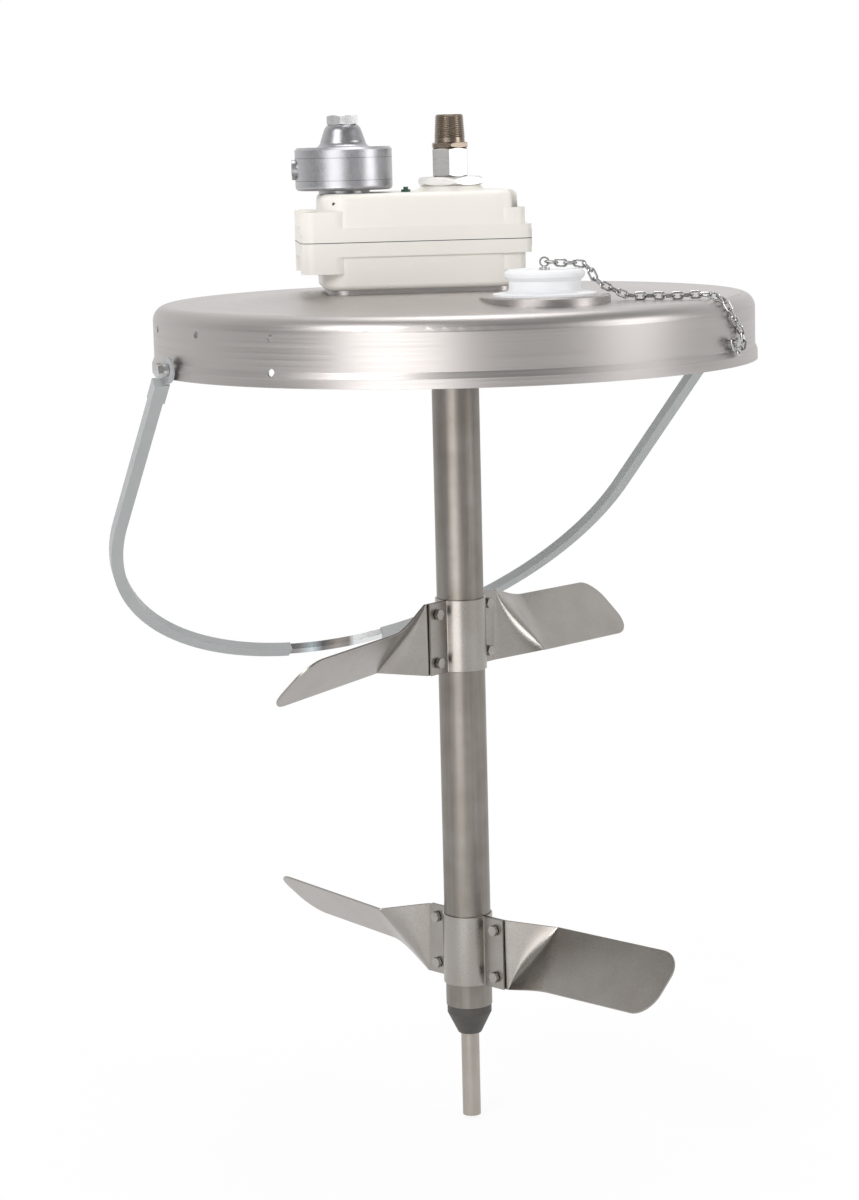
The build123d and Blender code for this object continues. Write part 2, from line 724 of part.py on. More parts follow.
with BuildPart() as housing_gasket:
    with BuildSketch(Plane.XY.offset(parting_z)):
        with Locations((flange_x, 0)):
            RectangleRounded(flange_length, 2 * flange_half_width, flange_corner)
        with Locations((footprint_x, 0)):
            RectangleRounded(
                cavity_length, 2 * cavity_half_width, housing_corner - housing_wall, mode=Mode.SUBTRACT
            )
        with Locations(*housing_screw_points):
            Circle(housing_screw_radius + housing_wall)
            Circle(housing_screw_radius + seat_gap, mode=Mode.SUBTRACT)
        with Locations((flange_left, -flange_half_width + 9), (flange_right, -flange_half_width + 9)):
            Rectangle(7, 4, mode=Mode.SUBTRACT)
    extrude(amount=gasket_thickness)
housing_gasket.part.label = "housing_gasket"
export_step(housing_gasket.part, "parts/housing_gasket.step")

screw_head_z = upper_base + lug_depth - housing_screw_head
with BuildPart() as housing_screws:
    with BuildSketch(Plane.XY.offset(screw_head_z)):
        with Locations(*housing_screw_points):
            Circle(housing_screw_head_radius)
    extrude(amount=housing_screw_head - 0.5)
    with BuildSketch(Plane.XY.offset(screw_head_z + housing_screw_head - 0.5)):
        with Locations(*housing_screw_points):
            RegularPolygon(3.4, 6)
    extrude(amount=-4, mode=Mode.SUBTRACT)
    with BuildSketch(Plane.XY.offset(screw_head_z)):
        with Locations(*housing_screw_points):
            Circle(housing_screw_radius)
    extrude(amount=-(screw_head_z - parting_z + lug_depth - 5))
housing_screws.part.label = "housing_screws"
export_step(housing_screws.part, "parts/housing_screws.step")

with BuildPart() as vent_plug:
    with BuildSketch(Plane.XY.offset(housing_top)):
        with Locations((vent_plug_x, vent_plug_y)):
            Circle(3)
    extrude(amount=-housing_floor + 1)
    with BuildSketch(Plane.XY.offset(housing_top)):
        with Locations((vent_plug_x, vent_plug_y)):
            RegularPolygon(4.6, 6)
    extrude(amount=2.6)
    with BuildSketch(Plane.XY.offset(housing_top + 2.6)):
        with Locations((vent_plug_x, vent_plug_y)):
            Circle(2.4)
    extrude(amount=2.6)
vent_plug.part.label = "vent_plug"
export_step(vent_plug.part, "parts/vent_plug.step")

# --- Gear train ----------------------------------------------------------------------
# Each pair meets with a tooth of one gear centred in a gap of the other.
to_idler = degrees(atan2(idler_y, idler_x))
to_motor = degrees(atan2(-idler_y, -motor_offset - idler_x))


def spur_gear(x, y, z, module, teeth, first_angle, width, bore):
    with BuildPart() as gear:
        with BuildSketch(Plane(origin=(x, y, z))):
            with BuildLine():
                Polyline(*gear_points(module, teeth, first_angle), close=True)
            make_face()
            Circle(bore, mode=Mode.SUBTRACT)
        extrude(amount=width)
    return gear.part


def ring(x, y, z, inner, outer, height):
    with BuildPart() as tube_piece:
        with BuildSketch(Plane(origin=(x, y, z))):
            Circle(outer)
            Circle(inner, mode=Mode.SUBTRACT)
        extrude(amount=height)
    return tube_piece.part


spindle_radius = spindle_bearing[0]
idler_shaft_radius = idler_bearing[0]
gear_hub_radius = spindle_radius + 5.5
lower_race_top = lower_spindle_bearing_z + spindle_bearing[2]
gear_hub_top = output_gear_z + output_face + 5
with BuildPart() as output_gear:
    add(
        spur_gear(
            0, 0, output_gear_z, output_module, output_teeth, to_idler, output_face,
            spindle_radius + seat_gap,
        )
    )
    hub_height_below = output_gear_z - lower_race_top
    add(ring(0, 0, lower_race_top, spindle_radius + seat_gap, gear_hub_radius, hub_height_below))
    add(
        ring(
            0, 0, output_gear_z + output_face, spindle_radius + seat_gap, gear_hub_radius,
            gear_hub_top - output_gear_z - output_face,
        )
    )
output_gear.part.label = "output_gear"
export_step(output_gear.part, "parts/output_gear.step")

with BuildPart() as spindle_spacer:
    add(
        ring(
            0, 0, gear_hub_top, spindle_radius + seat_gap, spindle_radius + 3.0,
            upper_spindle_bearing_z - gear_hub_top,
        )
    )
spindle_spacer.part.label = "spindle_spacer"
export_step(spindle_spacer.part, "parts/spindle_spacer.step")

with BuildPart() as idler_pinion:
    add(
        spur_gear(
            idler_x, idler_y, output_gear_z - face_excess / 2, output_module, pinion_teeth,
            to_idler + 180 + 180 / pinion_teeth, output_face + face_excess,
            idler_shaft_radius + seat_gap,
        )
    )
    pinion_top = output_gear_z + output_face + face_excess / 2
    add(
        ring(
            idler_x, idler_y, pinion_top, idler_shaft_radius + seat_gap, idler_shaft_radius + 4,
            idler_gear_z - pinion_top,
        )
    )
idler_pinion.part.label = "idler_pinion"
export_step(idler_pinion.part, "parts/idler_pinion.step")

with BuildPart() as idler_gear:
    add(
        spur_gear(
            idler_x, idler_y, idler_gear_z, input_module, idler_teeth, to_motor, input_face,
            idler_shaft_radius + seat_gap,
        )
    )
    lightening = [
        (
            idler_x + 22 * cos(radians(angle)),
            idler_y + 22 * sin(radians(angle)),
        )
        for angle in range(0, 360, 60)
    ]
    with BuildSketch(Plane.XY.offset(idler_gear_z)):
        with Locations(*lightening):
            Circle(6)
    extrude(amount=input_face, mode=Mode.SUBTRACT)
    add(
        ring(
            idler_x, idler_y, idler_gear_z + input_face, idler_shaft_radius + seat_gap,
            idler_shaft_radius + 4, upper_idler_bearing_z - idler_gear_z - input_face,
        )
    )
idler_gear.part.label = "idler_gear"
export_step(idler_gear.part, "parts/idler_gear.step")

with BuildPart() as idler_shaft:
    with BuildSketch(Plane(origin=(idler_x, idler_y, lower_idler_bearing_z + 0.5))):
        Circle(idler_shaft_radius)
    extrude(amount=upper_idler_bearing_z + idler_bearing[2] - lower_idler_bearing_z - 1)
    chamfer(idler_shaft.edges().filter_by(GeomType.CIRCLE), 0.6)
    lower_idler_top = lower_idler_bearing_z + idler_bearing[2]
    add(
        ring(
            idler_x, idler_y, lower_idler_top, idler_shaft_radius - 1, idler_shaft_radius + 2.4,
            output_gear_z - face_excess / 2 - lower_idler_top,
        )
    )
idler_shaft.part.label = "idler_shaft"
export_step(idler_shaft.part, "parts/idler_shaft.step")

motor_pinion_z = idler_gear_z - face_excess / 2
with BuildPart() as motor_pinion:
    add(
        spur_gear(
            -motor_offset, 0, motor_pinion_z, input_module, motor_teeth,
            to_motor + 180 + 180 / motor_teeth, input_face + face_excess,
            motor_shaft_radius + seat_gap,
        )
    )
    add(
        ring(
            -motor_offset, 0, motor_pinion_z + input_face + face_excess,
            motor_shaft_radius + seat_gap, motor_shaft_radius + 3.5, 8,
        )
    )
motor_pinion.part.label = "motor_pinion"
export_step(motor_pinion.part, "parts/motor_pinion.step")

# --- Bearings and shaft seal ---------------------------------------------------------
lower_motor_bearing_z = cylinder_base - motor_bearing[2] - 1
upper_motor_bearing_z = cylinder_top + 1
bearing_places = [
    ("spindle", 0, 0, spindle_bearing, (lower_spindle_bearing_z, upper_spindle_bearing_z)),
    ("idler", idler_x, idler_y, idler_bearing, (lower_idler_bearing_z, upper_idler_bearing_z)),
    ("motor", -motor_offset, 0, motor_bearing, (lower_motor_bearing_z, upper_motor_bearing_z)),
]
for bearing_name, x, y, (bore, outside, width), heights in bearing_places:
    section = outside - bore
    with BuildPart() as outer_races:
        for z in heights:
            add(ring(x, y, z, bore + race * section + free_gap, outside, width))
    outer_races.part.label = f"{bearing_name}_bearing_outers"
    export_step(outer_races.part, f"parts/{bearing_name}_bearing_outers.step")
    with BuildPart() as inner_races:
        for z in heights:
            add(ring(x, y, z, bore + seat_gap, bore + race * section, width))
    inner_races.part.label = f"{bearing_name}_bearing_inners"
    export_step(inner_races.part, f"parts/{bearing_name}_bearing_inners.step")

with BuildPart() as shaft_seal:
    add(ring(0, 0, housing_base, spindle_radius + free_gap, seal_radius, seal_width))
shaft_seal.part.label = "shaft_seal"
export_step(shaft_seal.part, "parts/shaft_seal.step")

# --- Output spindle, agitator tube and siphon tube -----------------------------------
tube_bore = tube_radius - tube_wall
with BuildPart() as output_spindle:
    with BuildSketch(Plane.XZ):
        with BuildLine():
            Polyline(
                (spindle_bore_radius, tube_top - spindle_foot),
                (tube_bore - seat_gap - 3, tube_top - spindle_foot),
                (tube_bore - seat_gap, tube_top - spindle_foot + 5),
                (tube_bore - seat_gap, tube_top),
                (tube_radius, tube_top),
                (tube_radius, tube_top + 2),
                (spindle_radius, tube_top + 5),
                (spindle_radius, spindle_top - 1),
                (spindle_radius - 1, spindle_top),
                (spindle_bore_radius, spindle_top),
                close=True,
            )
        make_face()
    revolve(axis=Axis.Z)
output_spindle.part.label = "output_spindle"
export_step(output_spindle.part, "parts/output_spindle.step")

with BuildPart() as agitator_tube:
    with BuildSketch(Plane.XY.offset(tube_bottom)):
        Circle(tube_radius)
        Circle(tube_bore, mode=Mode.SUBTRACT)
    extrude(amount=tube_top - tube_bottom)
agitator_tube.part.label = "agitator_tube"
export_step(agitator_tube.part, "parts/agitator_tube.step")

with BuildPart() as tube_bushing:
    with BuildSketch(Plane.XZ):
        with BuildLine():
            Polyline(
                (siphon_radius + running_gap, tube_bottom + bushing_spigot),
                (tube_bore - seat_gap, tube_bottom + bushing_spigot),
                (tube_bore - seat_gap, tube_bottom),
                (bushing_radius, tube_bottom),
                (bushing_radius, tube_bottom - bushing_collar),
                (bushing_tip_radius, tube_bottom - bushing_collar - bushing_cone),
                (siphon_radius + running_gap, tube_bottom - bushing_collar - bushing_cone),
                close=True,
            )
        make_face()
    revolve(axis=Axis.Z)
tube_bushing.part.label = "tube_bushing"
export_step(tube_bushing.part, "parts/tube_bushing.step")

with BuildPart() as siphon_tube:
    with BuildSketch(Plane.XY.offset(siphon_bottom)):
        Circle(siphon_radius)
        Circle(siphon_radius - siphon_wall, mode=Mode.SUBTRACT)
    extrude(amount=siphon_top - siphon_bottom)
siphon_tube.part.label = "siphon_tube"
export_step(siphon_tube.part, "parts/siphon_tube.step")

# --- Siphon fittings -----------------------------------------------------------------
def hex_blank(bottom, height, flats, turn):
    """Hexagon bar with both ends turned back at its corners."""
    with BuildPart() as blank:
        with BuildSketch(Plane.XY.offset(bottom)):
            RegularPolygon(flats / 2, 6, major_radius=False, rotation=turn)
        extrude(amount=height)
        with BuildSketch(Plane.XZ):
            with BuildLine():
                corner_radius_hex = flats / 3**0.5
                Polyline(
                    (0, bottom),
                    (flats / 2 * 0.97, bottom),
                    (corner_radius_hex, bottom + (corner_radius_hex - flats / 2 * 0.97) * 0.5),
                    (corner_radius_hex, bottom + height - (corner_radius_hex - flats / 2 * 0.97) * 0.5),
                    (flats / 2 * 0.97, bottom + height),
                    (0, bottom + height),
                    close=True,
                )
            make_face()
        revolve(axis=Axis.Z, mode=Mode.INTERSECT)
    return blank.part


with BuildPart() as siphon_nut:
    add(hex_blank(boss_top, nut_height, nut_flats, 33))
    with BuildSketch(Plane.XY.offset(boss_top)):
        Circle(nut_stem_radius)
    extrude(amount=-nut_stem_length)
    with BuildSketch(Plane.XY.offset(boss_top - nut_stem_length)):
        Circle(siphon_radius + seat_gap)
    extrude(amount=nut_stem_length + nut_height, mode=Mode.SUBTRACT)
siphon_nut.part.label = "siphon_nut"
export_step(siphon_nut.part, "parts/siphon_nut.step")

with BuildPart() as siphon_coupling:
    add(hex_blank(nut_top, coupling_length, coupling_flats, 22))
    with BuildSketch(Plane.XY.offset(nut_top)):
        Circle(siphon_radius + seat_gap)
    extrude(amount=coupling_length, mode=Mode.SUBTRACT)
siphon_coupling.part.label = "siphon_coupling"
export_step(siphon_coupling.part, "parts/siphon_coupling.step")

with BuildPart() as outlet_nipple:
    add(hex_blank(coupling_top, adapter_hex_height, coupling_flats + 0.5, 28))
    with BuildSketch(Plane.XZ):
        with BuildLine():
            Polyline(
                (0, adapter_top),
                (nipple_base_radius, adapter_top),
                (nipple_top_radius + 0.2, nipple_top - 1.2),
                (nipple_top_radius - 0.8, nipple_top),
                (0, nipple_top),
                close=True,
            )
        make_face()
    revolve(axis=Axis.Z)
    with BuildSketch(Plane.XY.offset(coupling_top)):
        Circle(siphon_radius - seat_gap)
    extrude(amount=-(coupling_top - siphon_top - 0.5))
    with BuildSketch(Plane.XY.offset(siphon_top)):
        Circle(siphon_radius - siphon_wall)
    extrude(amount=nipple_top - siphon_top, mode=Mode.SUBTRACT)
outlet_nipple.part.label = "outlet_nipple"
export_step(outlet_nipple.part, "parts/outlet_nipple.step")

# --- Air motor -----------------------------------------------------------------------
motor_axis = Axis((-motor_offset, 0, 0), (0, 0, 1))
motor_plane = Plane(origin=(-motor_offset, 0, 0), x_dir=(1, 0, 0), z_dir=(0, -1, 0))
motor_screw_points = [
    (
        -motor_offset + motor_screw_circle * cos(radians(angle)),
        motor_screw_circle * sin(radians(angle)),
    )
    for angle in range(22, 360, 60)
]


def cylinder_at(x, y, z, radius, height):
    with BuildPart() as round_bar:
        with BuildSketch(Plane(origin=(x, y, z))):
            Circle(radius)
        extrude(amount=height)
    return round_bar.part


with BuildPart() as motor_lower_plate:
    with BuildSketch(motor_plane):
        with BuildLine():
            Polyline(
                (0, housing_top - housing_floor),
                (motor_pilot_radius, housing_top - housing_floor),
                (motor_pilot_radius, housing_top),
                (motor_neck_radius, housing_top),
                (motor_neck_radius, plate_base),
                (motor_radius - 4, plate_base),
            )
            edge = TangentArc(
                (motor_radius - 4, plate_base), (motor_radius, plate_base + 4), tangent=(1, 0)
            )
            Polyline(edge @ 1, (motor_radius, cylinder_base), (0, cylinder_base))
            Line((0, cylinder_base), (0, housing_top - housing_floor))
        make_face()
    revolve(axis=motor_axis)
    add(
        cylinder_at(-motor_offset, 0, housing_top - housing_floor, motor_shaft_radius + 1, 40),
        mode=Mode.SUBTRACT,
    )
    add(
        bearing_seat(-motor_offset, 0, motor_bearing, lower_motor_bearing_z), mode=Mode.SUBTRACT
    )
    add(cylinder_at(-motor_offset, 0, cylinder_base - 2, motor_bearing[1] - 2, 4), mode=Mode.SUBTRACT)
    with BuildSketch(Plane.XY.offset(cylinder_base)):
        with Locations(*motor_screw_points):
            Circle(motor_screw_radius + seat_gap)
    extrude(amount=-lower_plate_height + 2, mode=Mode.SUBTRACT)
    with BuildSketch(Plane.XY.offset(cylinder_base)):
        with Locations(*mount_screw_points):
            Circle(motor_screw_radius + seat_gap)
    extrude(amount=-20, mode=Mode.SUBTRACT)
    with BuildSketch(Plane.XY.offset(cylinder_base)):
        with Locations(*mount_screw_points):
            Circle(5)
    extrude(amount=-5.4, mode=Mode.SUBTRACT)
motor_lower_plate.part.label = "motor_lower_plate"
export_step(motor_lower_plate.part, "parts/motor_lower_plate.step")

with BuildPart() as motor_mount_screws:
    with BuildSketch(Plane.XY.offset(cylinder_base - 5.4)):
        with Locations(*mount_screw_points):
            Circle(4.6)
    extrude(amount=5)
    with BuildSketch(Plane.XY.offset(cylinder_base - 5.4)):
        with Locations(*mount_screw_points):
            Circle(motor_screw_radius)
    extrude(amount=-(cylinder_base - 5.4 - housing_top + housing_floor))
motor_mount_screws.part.label = "motor_mount_screws"
export_step(motor_mount_screws.part, "parts/motor_mount_screws.step")

chamber_x = -motor_offset + chamber_offset
port_z = (cylinder_base + cylinder_top) / 2
port_angles = (180.0, exhaust_angle)
with BuildPart() as motor_cylinder:
    with BuildSketch(Plane.XY.offset(cylinder_base)):
        with Locations((-motor_offset, 0)):
            Circle(motor_radius)
    extrude(amount=cylinder_height)
    for angle in port_angles:
        outward = (cos(radians(angle)), sin(radians(angle)), 0)
        port_plane_out = Plane(origin=(-motor_offset, 0, port_z), x_dir=(0, 0, 1), z_dir=outward)
        with BuildSketch(port_plane_out.offset(motor_radius - 6)):
            Circle(port_boss_radius)
        extrude(amount=6 + port_boss_height)
        with BuildSketch(port_plane_out.offset(motor_radius + port_boss_height)):
            Circle(port_radius)
        extrude(amount=-port_depth, mode=Mode.SUBTRACT)
        with BuildSketch(port_plane_out.offset(motor_radius)):
            Circle(3.5)
        extrude(amount=-18, mode=Mode.SUBTRACT)
    with BuildSketch(Plane.XY.offset(cylinder_base)):
        with Locations((chamber_x, 0)):
            Circle(chamber_radius)
        with Locations(*motor_screw_points):
            Circle(motor_screw_radius + seat_gap)
    extrude(amount=cylinder_height, mode=Mode.SUBTRACT)
motor_cylinder.part.label = "motor_cylinder"
export_step(motor_cylinder.part, "parts/motor_cylinder.step")

with BuildPart() as motor_upper_plate:
    with BuildSketch(motor_plane):
        with BuildLine():
            Polyline(
                (0, cylinder_top),
                (motor_radius, cylinder_top),
                (motor_radius, hub_base - 2.5),
                (motor_radius - 2.5, hub_base),
                (hub_base_radius + 3, hub_base),
            )
            flare = TangentArc(
                (hub_base_radius + 3, hub_base),
                (hub_base_radius - 3.5, hub_base + 6.0),
                tangent=(-1, 0),
            )
            shoulder = Line(flare @ 1, (hub_top_radius + 2.6, hub_top - 5.0))
            crest = TangentArc(shoulder @ 1, (hub_top_radius - 1, hub_top), tangent=shoulder % 1)
            Polyline(crest @ 1, (0, hub_top), (0, cylinder_top))
        make_face()
    revolve(axis=motor_axis)
    add(cylinder_at(-motor_offset, 0, cylinder_top, hub_bore_radius, 60), mode=Mode.SUBTRACT)
    add(
        bearing_seat(-motor_offset, 0, motor_bearing, upper_motor_bearing_z), mode=Mode.SUBTRACT
    )
    add(cylinder_at(-motor_offset, 0, hub_base - 5.5, motor_bearing[1] - 1, 12), mode=Mode.SUBTRACT)
    with BuildSketch(Plane.XY.offset(cylinder_top)):
        with Locations(*motor_screw_points):
            Circle(motor_screw_radius + seat_gap)
    extrude(amount=upper_plate_height, mode=Mode.SUBTRACT)
    with BuildSketch(Plane.XY.offset(hub_base)):
        with Locations(*motor_screw_points):
            Circle(4.6)
    extrude(amount=-5, mode=Mode.SUBTRACT)
motor_upper_plate.part.label = "motor_upper_plate"
export_step(motor_upper_plate.part, "parts/motor_upper_plate.step")

with BuildPart() as motor_screws:
    with BuildSketch(Plane.XY.offset(hub_base - 5)):
        with Locations(*motor_screw_points):
            Circle(4.25)
    extrude(amount=4.6)
    with BuildSketch(Plane.XY.offset(hub_base - 0.4)):
        with Locations(*motor_screw_points):
            RegularPolygon(2.2, 6)
    extrude(amount=-2.4, mode=Mode.SUBTRACT)
    with BuildSketch(Plane.XY.offset(hub_base - 5)):
        with Locations(*motor_screw_points):
            Circle(motor_screw_radius)
    extrude(amount=-(hub_base - 5 - plate_base - 2.5))
motor_screws.part.label = "motor_screws"
export_step(motor_screws.part, "parts/motor_screws.step")

with BuildPart() as motor_bearing_cap:
    add(hex_blank(hub_top, bearing_cap_height, bearing_cap_flats, 18).moved(Location((-motor_offset, 0, 0))))
    with BuildSketch(Plane(origin=(-motor_offset, 0, hub_top))):
        Circle(hub_bore_radius - seat_gap)
    extrude(amount=-8)
motor_bearing_cap.part.label = "motor_bearing_cap"
export_step(motor_bearing_cap.part, "parts/motor_bearing_cap.step")

motor_shaft_top = upper_motor_bearing_z + motor_bearing[2]
with BuildPart() as motor_shaft:
    with BuildSketch(Plane(origin=(-motor_offset, 0, motor_pinion_z))):
        Circle(motor_shaft_radius)
    extrude(amount=motor_shaft_top - motor_pinion_z)
    chamfer(motor_shaft.edges().filter_by(GeomType.CIRCLE), 0.5)
motor_shaft.part.label = "motor_shaft"
export_step(motor_shaft.part, "parts/motor_shaft.step")

rotor_base = cylinder_base + rotor_end_gap
rotor_height = cylinder_height - 2 * rotor_end_gap
with BuildPart() as motor_rotor:
    with BuildSketch(Plane(origin=(-motor_offset, 0, rotor_base))):
        Circle(rotor_radius)
        Circle(motor_shaft_radius + seat_gap, mode=Mode.SUBTRACT)
        with PolarLocations(rotor_radius - vane_depth / 2 + 0.5, vane_count, start_angle=45):
            Rectangle(vane_depth + 1, vane_width, mode=Mode.SUBTRACT)
    extrude(amount=rotor_height)
motor_rotor.part.label = "motor_rotor"
export_step(motor_rotor.part, "parts/motor_rotor.step")

with BuildPart() as motor_vanes:
    with BuildSketch(Plane(origin=(-motor_offset, 0, rotor_base))):
        with PolarLocations(rotor_radius - vane_depth / 2, vane_count, start_angle=45):
            Rectangle(vane_depth, vane_width - 2 * seat_gap)
    extrude(amount=rotor_height)
motor_vanes.part.label = "motor_vanes"
export_step(motor_vanes.part, "parts/motor_vanes.step")

# --- Propellers ----------------------------------------------------------------------
# One stamping: half a clamp, a small flange, and a root flange folded along three lines
# into the pitched blade. Local axes: x out along the blade, -y to the clamp's own side.
flange_y = -(clamp_gap + blade_sheet) / 2
half_blade = blade_width / 2


def on_blade(reach, across):
    """A point of the blade's middle plane, from its reach and its place across the width."""
    yaw, droop, pitch = radians(blade_yaw), radians(blade_droop), radians(blade_pitch)
    forward = blade_offset + reach * sin(yaw) - across * sin(pitch)
    height = blade_lift + reach * sin(droop) + across * cos(pitch)
    return Vector(reach * cos(yaw) * cos(droop), -forward, height)


def facet(corners, rounding=0):
    """A flat piece of the sheet with the given corners; the last two may be rounded."""
    face_plane = Plane(
        origin=corners[0],
        x_dir=corners[1] - corners[0],
        z_dir=(corners[1] - corners[0]).cross(corners[2] - corners[0]),
    )
    with BuildPart() as flat:
        with BuildSketch(face_plane):
            with BuildLine():
                Polyline(*[face_plane.to_local_coords(corner) for corner in corners], close=True)
            make_face()
        extrude(amount=blade_sheet / 2, both=True)
        if rounding:
            tip_edges = flat.edges().filter_by(
                lambda edge: abs(edge.length - blade_sheet) < 0.01
                and abs(edge.tangent_at(0.5).dot(face_plane.z_dir)) > 0.99
            )
            fillet(tip_edges.sort_by(Axis.X)[-2:], rounding)
    return flat.part


def fold_bar(start, end):
    """The rounded outside of a fold between two flats."""
    with BuildPart() as bar:
        with BuildSketch(Plane(origin=start, z_dir=end - start)):
            Circle(blade_sheet / 2)
        extrude(amount=(end - start).length)
    return bar.part


fold_top = Vector(root_flange + 2, flange_y, half_blade)
fold_foot = Vector(root_flange, flange_y, -half_blade)
blade_foot = on_blade(near_fold, -half_blade)
blade_head = on_blade(far_fold, half_blade)
flats = [
    facet([fold_foot, fold_top, blade_foot]),
    facet([fold_top, blade_head, blade_foot]),
    facet(
        [
            blade_foot,
            blade_head,
            on_blade(blade_tip_radius - 3, half_blade),
            on_blade(blade_tip_radius, -half_blade),
        ],
        tip_rounding,
    ),
]
folds = [
    fold_bar(fold_foot, fold_top),
    fold_bar(fold_top, blade_foot),
    fold_bar(blade_foot, blade_head),
]
clamp_inner = tube_radius + seat_gap
clamp_screw_points = [(side * clamp_screw_x, end * clamp_screw_z) for side in (-1, 1) for end in (-1, 1)]
with BuildPart() as stamping:
    with BuildSketch(Plane.XY.offset(-half_blade)):
        Circle(clamp_inner + blade_sheet)
        Circle(clamp_inner, mode=Mode.SUBTRACT)
        with Locations((0, -clamp_gap / 2)):
            Rectangle(4 * tube_radius, 4 * tube_radius, align=(Align.CENTER, Align.MIN), mode=Mode.SUBTRACT)
        with Locations((-(small_flange + clamp_inner) / 2 - 0.4, flange_y)):
            Rectangle(small_flange - clamp_inner - 0.8, blade_sheet)
        with Locations(((root_flange + clamp_inner) / 2 + 0.4, flange_y)):
            Rectangle(root_flange - clamp_inner - 0.8, blade_sheet)
    extrude(amount=blade_width)
    add(flats)
    add(folds)
    with BuildSketch(Plane.XZ):
        with Locations(*clamp_screw_points):
            Circle(clamp_screw_radius + seat_gap)
    extrude(amount=20, mode=Mode.SUBTRACT)

upper_place = Location((0, 0, upper_blades_z), (0, 0, upper_blades_angle))
lower_place = Location((0, 0, lower_blades_z), (0, 0, lower_blades_angle)) * Location((0, 0, 0), (180, 0, 0))
half_turn = Location((0, 0, 0), (0, 0, 180))
blade_places = [
    ("upper_blade_front", upper_place),
    ("upper_blade_rear", upper_place * half_turn),
    ("lower_blade_rear", lower_place),
    ("lower_blade_front", lower_place * half_turn),
]
for blade_name, place in blade_places:
    with BuildPart() as blade:
        add(stamping.part.moved(place))
    blade.part.label = blade_name
    export_step(blade.part, f"parts/{blade_name}.step")

# The screws' heads are on the front clamp of each set, and their nuts on the rear one.
grip_length = clamp_gap + 2 * blade_sheet
with BuildPart() as screw_set:
    with BuildSketch(Plane.XZ.offset(grip_length / 2)):
        with Locations(*clamp_screw_points):
            RegularPolygon(1.66 * clamp_screw_radius, 6, major_radius=False)
    extrude(amount=1.3 * clamp_screw_radius)
    with BuildSketch(Plane.XZ.offset(grip_length / 2)):
        with Locations(*clamp_screw_points):
            Circle(clamp_screw_radius)
    extrude(amount=-grip_length - 8)
with BuildPart() as nut_set:
    with BuildSketch(Plane.XZ.offset(-grip_length / 2)):
        with Locations(*clamp_screw_points):
            RegularPolygon(1.66 * clamp_screw_radius, 6, major_radius=False)
            Circle(clamp_screw_radius + seat_gap, mode=Mode.SUBTRACT)
    extrude(amount=-1.7 * clamp_screw_radius)
with BuildPart() as clamp_screws:
    add(screw_set.part.moved(upper_place))
    add(screw_set.part.moved(lower_place * half_turn))
clamp_screws.part.label = "clamp_screws"
export_step(clamp_screws.part, "parts/clamp_screws.step")
with BuildPart() as clamp_nuts:
    add(nut_set.part.moved(upper_place))
    add(nut_set.part.moved(lower_place * half_turn))
clamp_nuts.part.label = "clamp_nuts"
export_step(clamp_nuts.part, "parts/clamp_nuts.step")

# --- Bail ----------------------------------------------------------------------------
# The bail lies in a plane through the pivot axis: local x along the axis, y away from it.
turn, swing = radians(bail_angle), radians(bail_swing)
bail_axis = Vector(cos(turn), sin(turn), 0)
bail_reach = Vector(-sin(turn) * sin(swing), cos(turn) * sin(swing), -cos(swing))
bail_normal = bail_axis.cross(bail_reach)
pivot_centre = Vector(0, 0, pivot_z)
bail_plane = Plane(origin=pivot_centre, x_dir=bail_axis, z_dir=bail_normal)
middle_plane = Plane(origin=pivot_centre, x_dir=bail_reach, z_dir=bail_axis)
to_centre = hypot(bail_pivot_radius, bail_arc_depth)
touch = degrees(acos(bail_arc_radius / to_centre) - atan2(bail_arc_depth, bail_pivot_radius))
touch_x = bail_arc_radius * cos(radians(touch))
touch_depth = bail_arc_depth + bail_arc_radius * sin(radians(touch))
leg_lean = degrees(atan2(bail_pivot_radius - touch_x, touch_depth))
leg_length = hypot(bail_pivot_radius - touch_x, touch_depth)


def at_leg(distance):
    """Plane across the right leg: local x outward, y to the under side of the bail."""
    share = distance / leg_length
    origin = bail_plane.from_local_coords(
        (bail_pivot_radius + (touch_x - bail_pivot_radius) * share, touch_depth * share)
    )
    lean = radians(leg_lean)
    heading = bail_reach * cos(lean) - bail_axis * sin(lean)
    return Plane(origin=origin, x_dir=heading.cross(bail_normal), z_dir=heading)


def channel_section(plane, width, depth, wall):
    """U section with its web on the under side of the bail."""
    with BuildSketch(plane) as section:
        Rectangle(width, depth)
        with Locations((0, -wall / 2)):
            Rectangle(width - 2 * wall, depth - wall, mode=Mode.SUBTRACT)
    return section.sketch


def bail_arm(last_angle):
    """Right arm of the bail, from beside its ear to an angle of the arc, 90 at the bottom."""
    with BuildPart() as arm:
        with BuildLine(bail_plane) as spine:
            start = bail_plane.to_local_coords(at_leg(ear_end).origin)
            Line((start.X, start.Y), (touch_x, touch_depth))
            CenterArc((0, bail_arc_depth), bail_arc_radius, touch, last_angle - touch)
        add(channel_section(at_leg(ear_end), bail_channel_width, bail_channel_depth, bail_wall))
        sweep(path=spine.wires()[0])
    return arm.part


with BuildPart() as bail_channel_right:
    add(bail_arm(grip_from))
bail_channel_right.part.label = "bail_channel_right"
export_step(bail_channel_right.part, "parts/bail_channel_right.step")
with BuildPart() as bail_channel_left:
    add(mirror(bail_arm(180 - grip_to), about=middle_plane, mode=Mode.PRIVATE))
bail_channel_left.part.label = "bail_channel_left"
export_step(bail_channel_left.part, "parts/bail_channel_left.step")

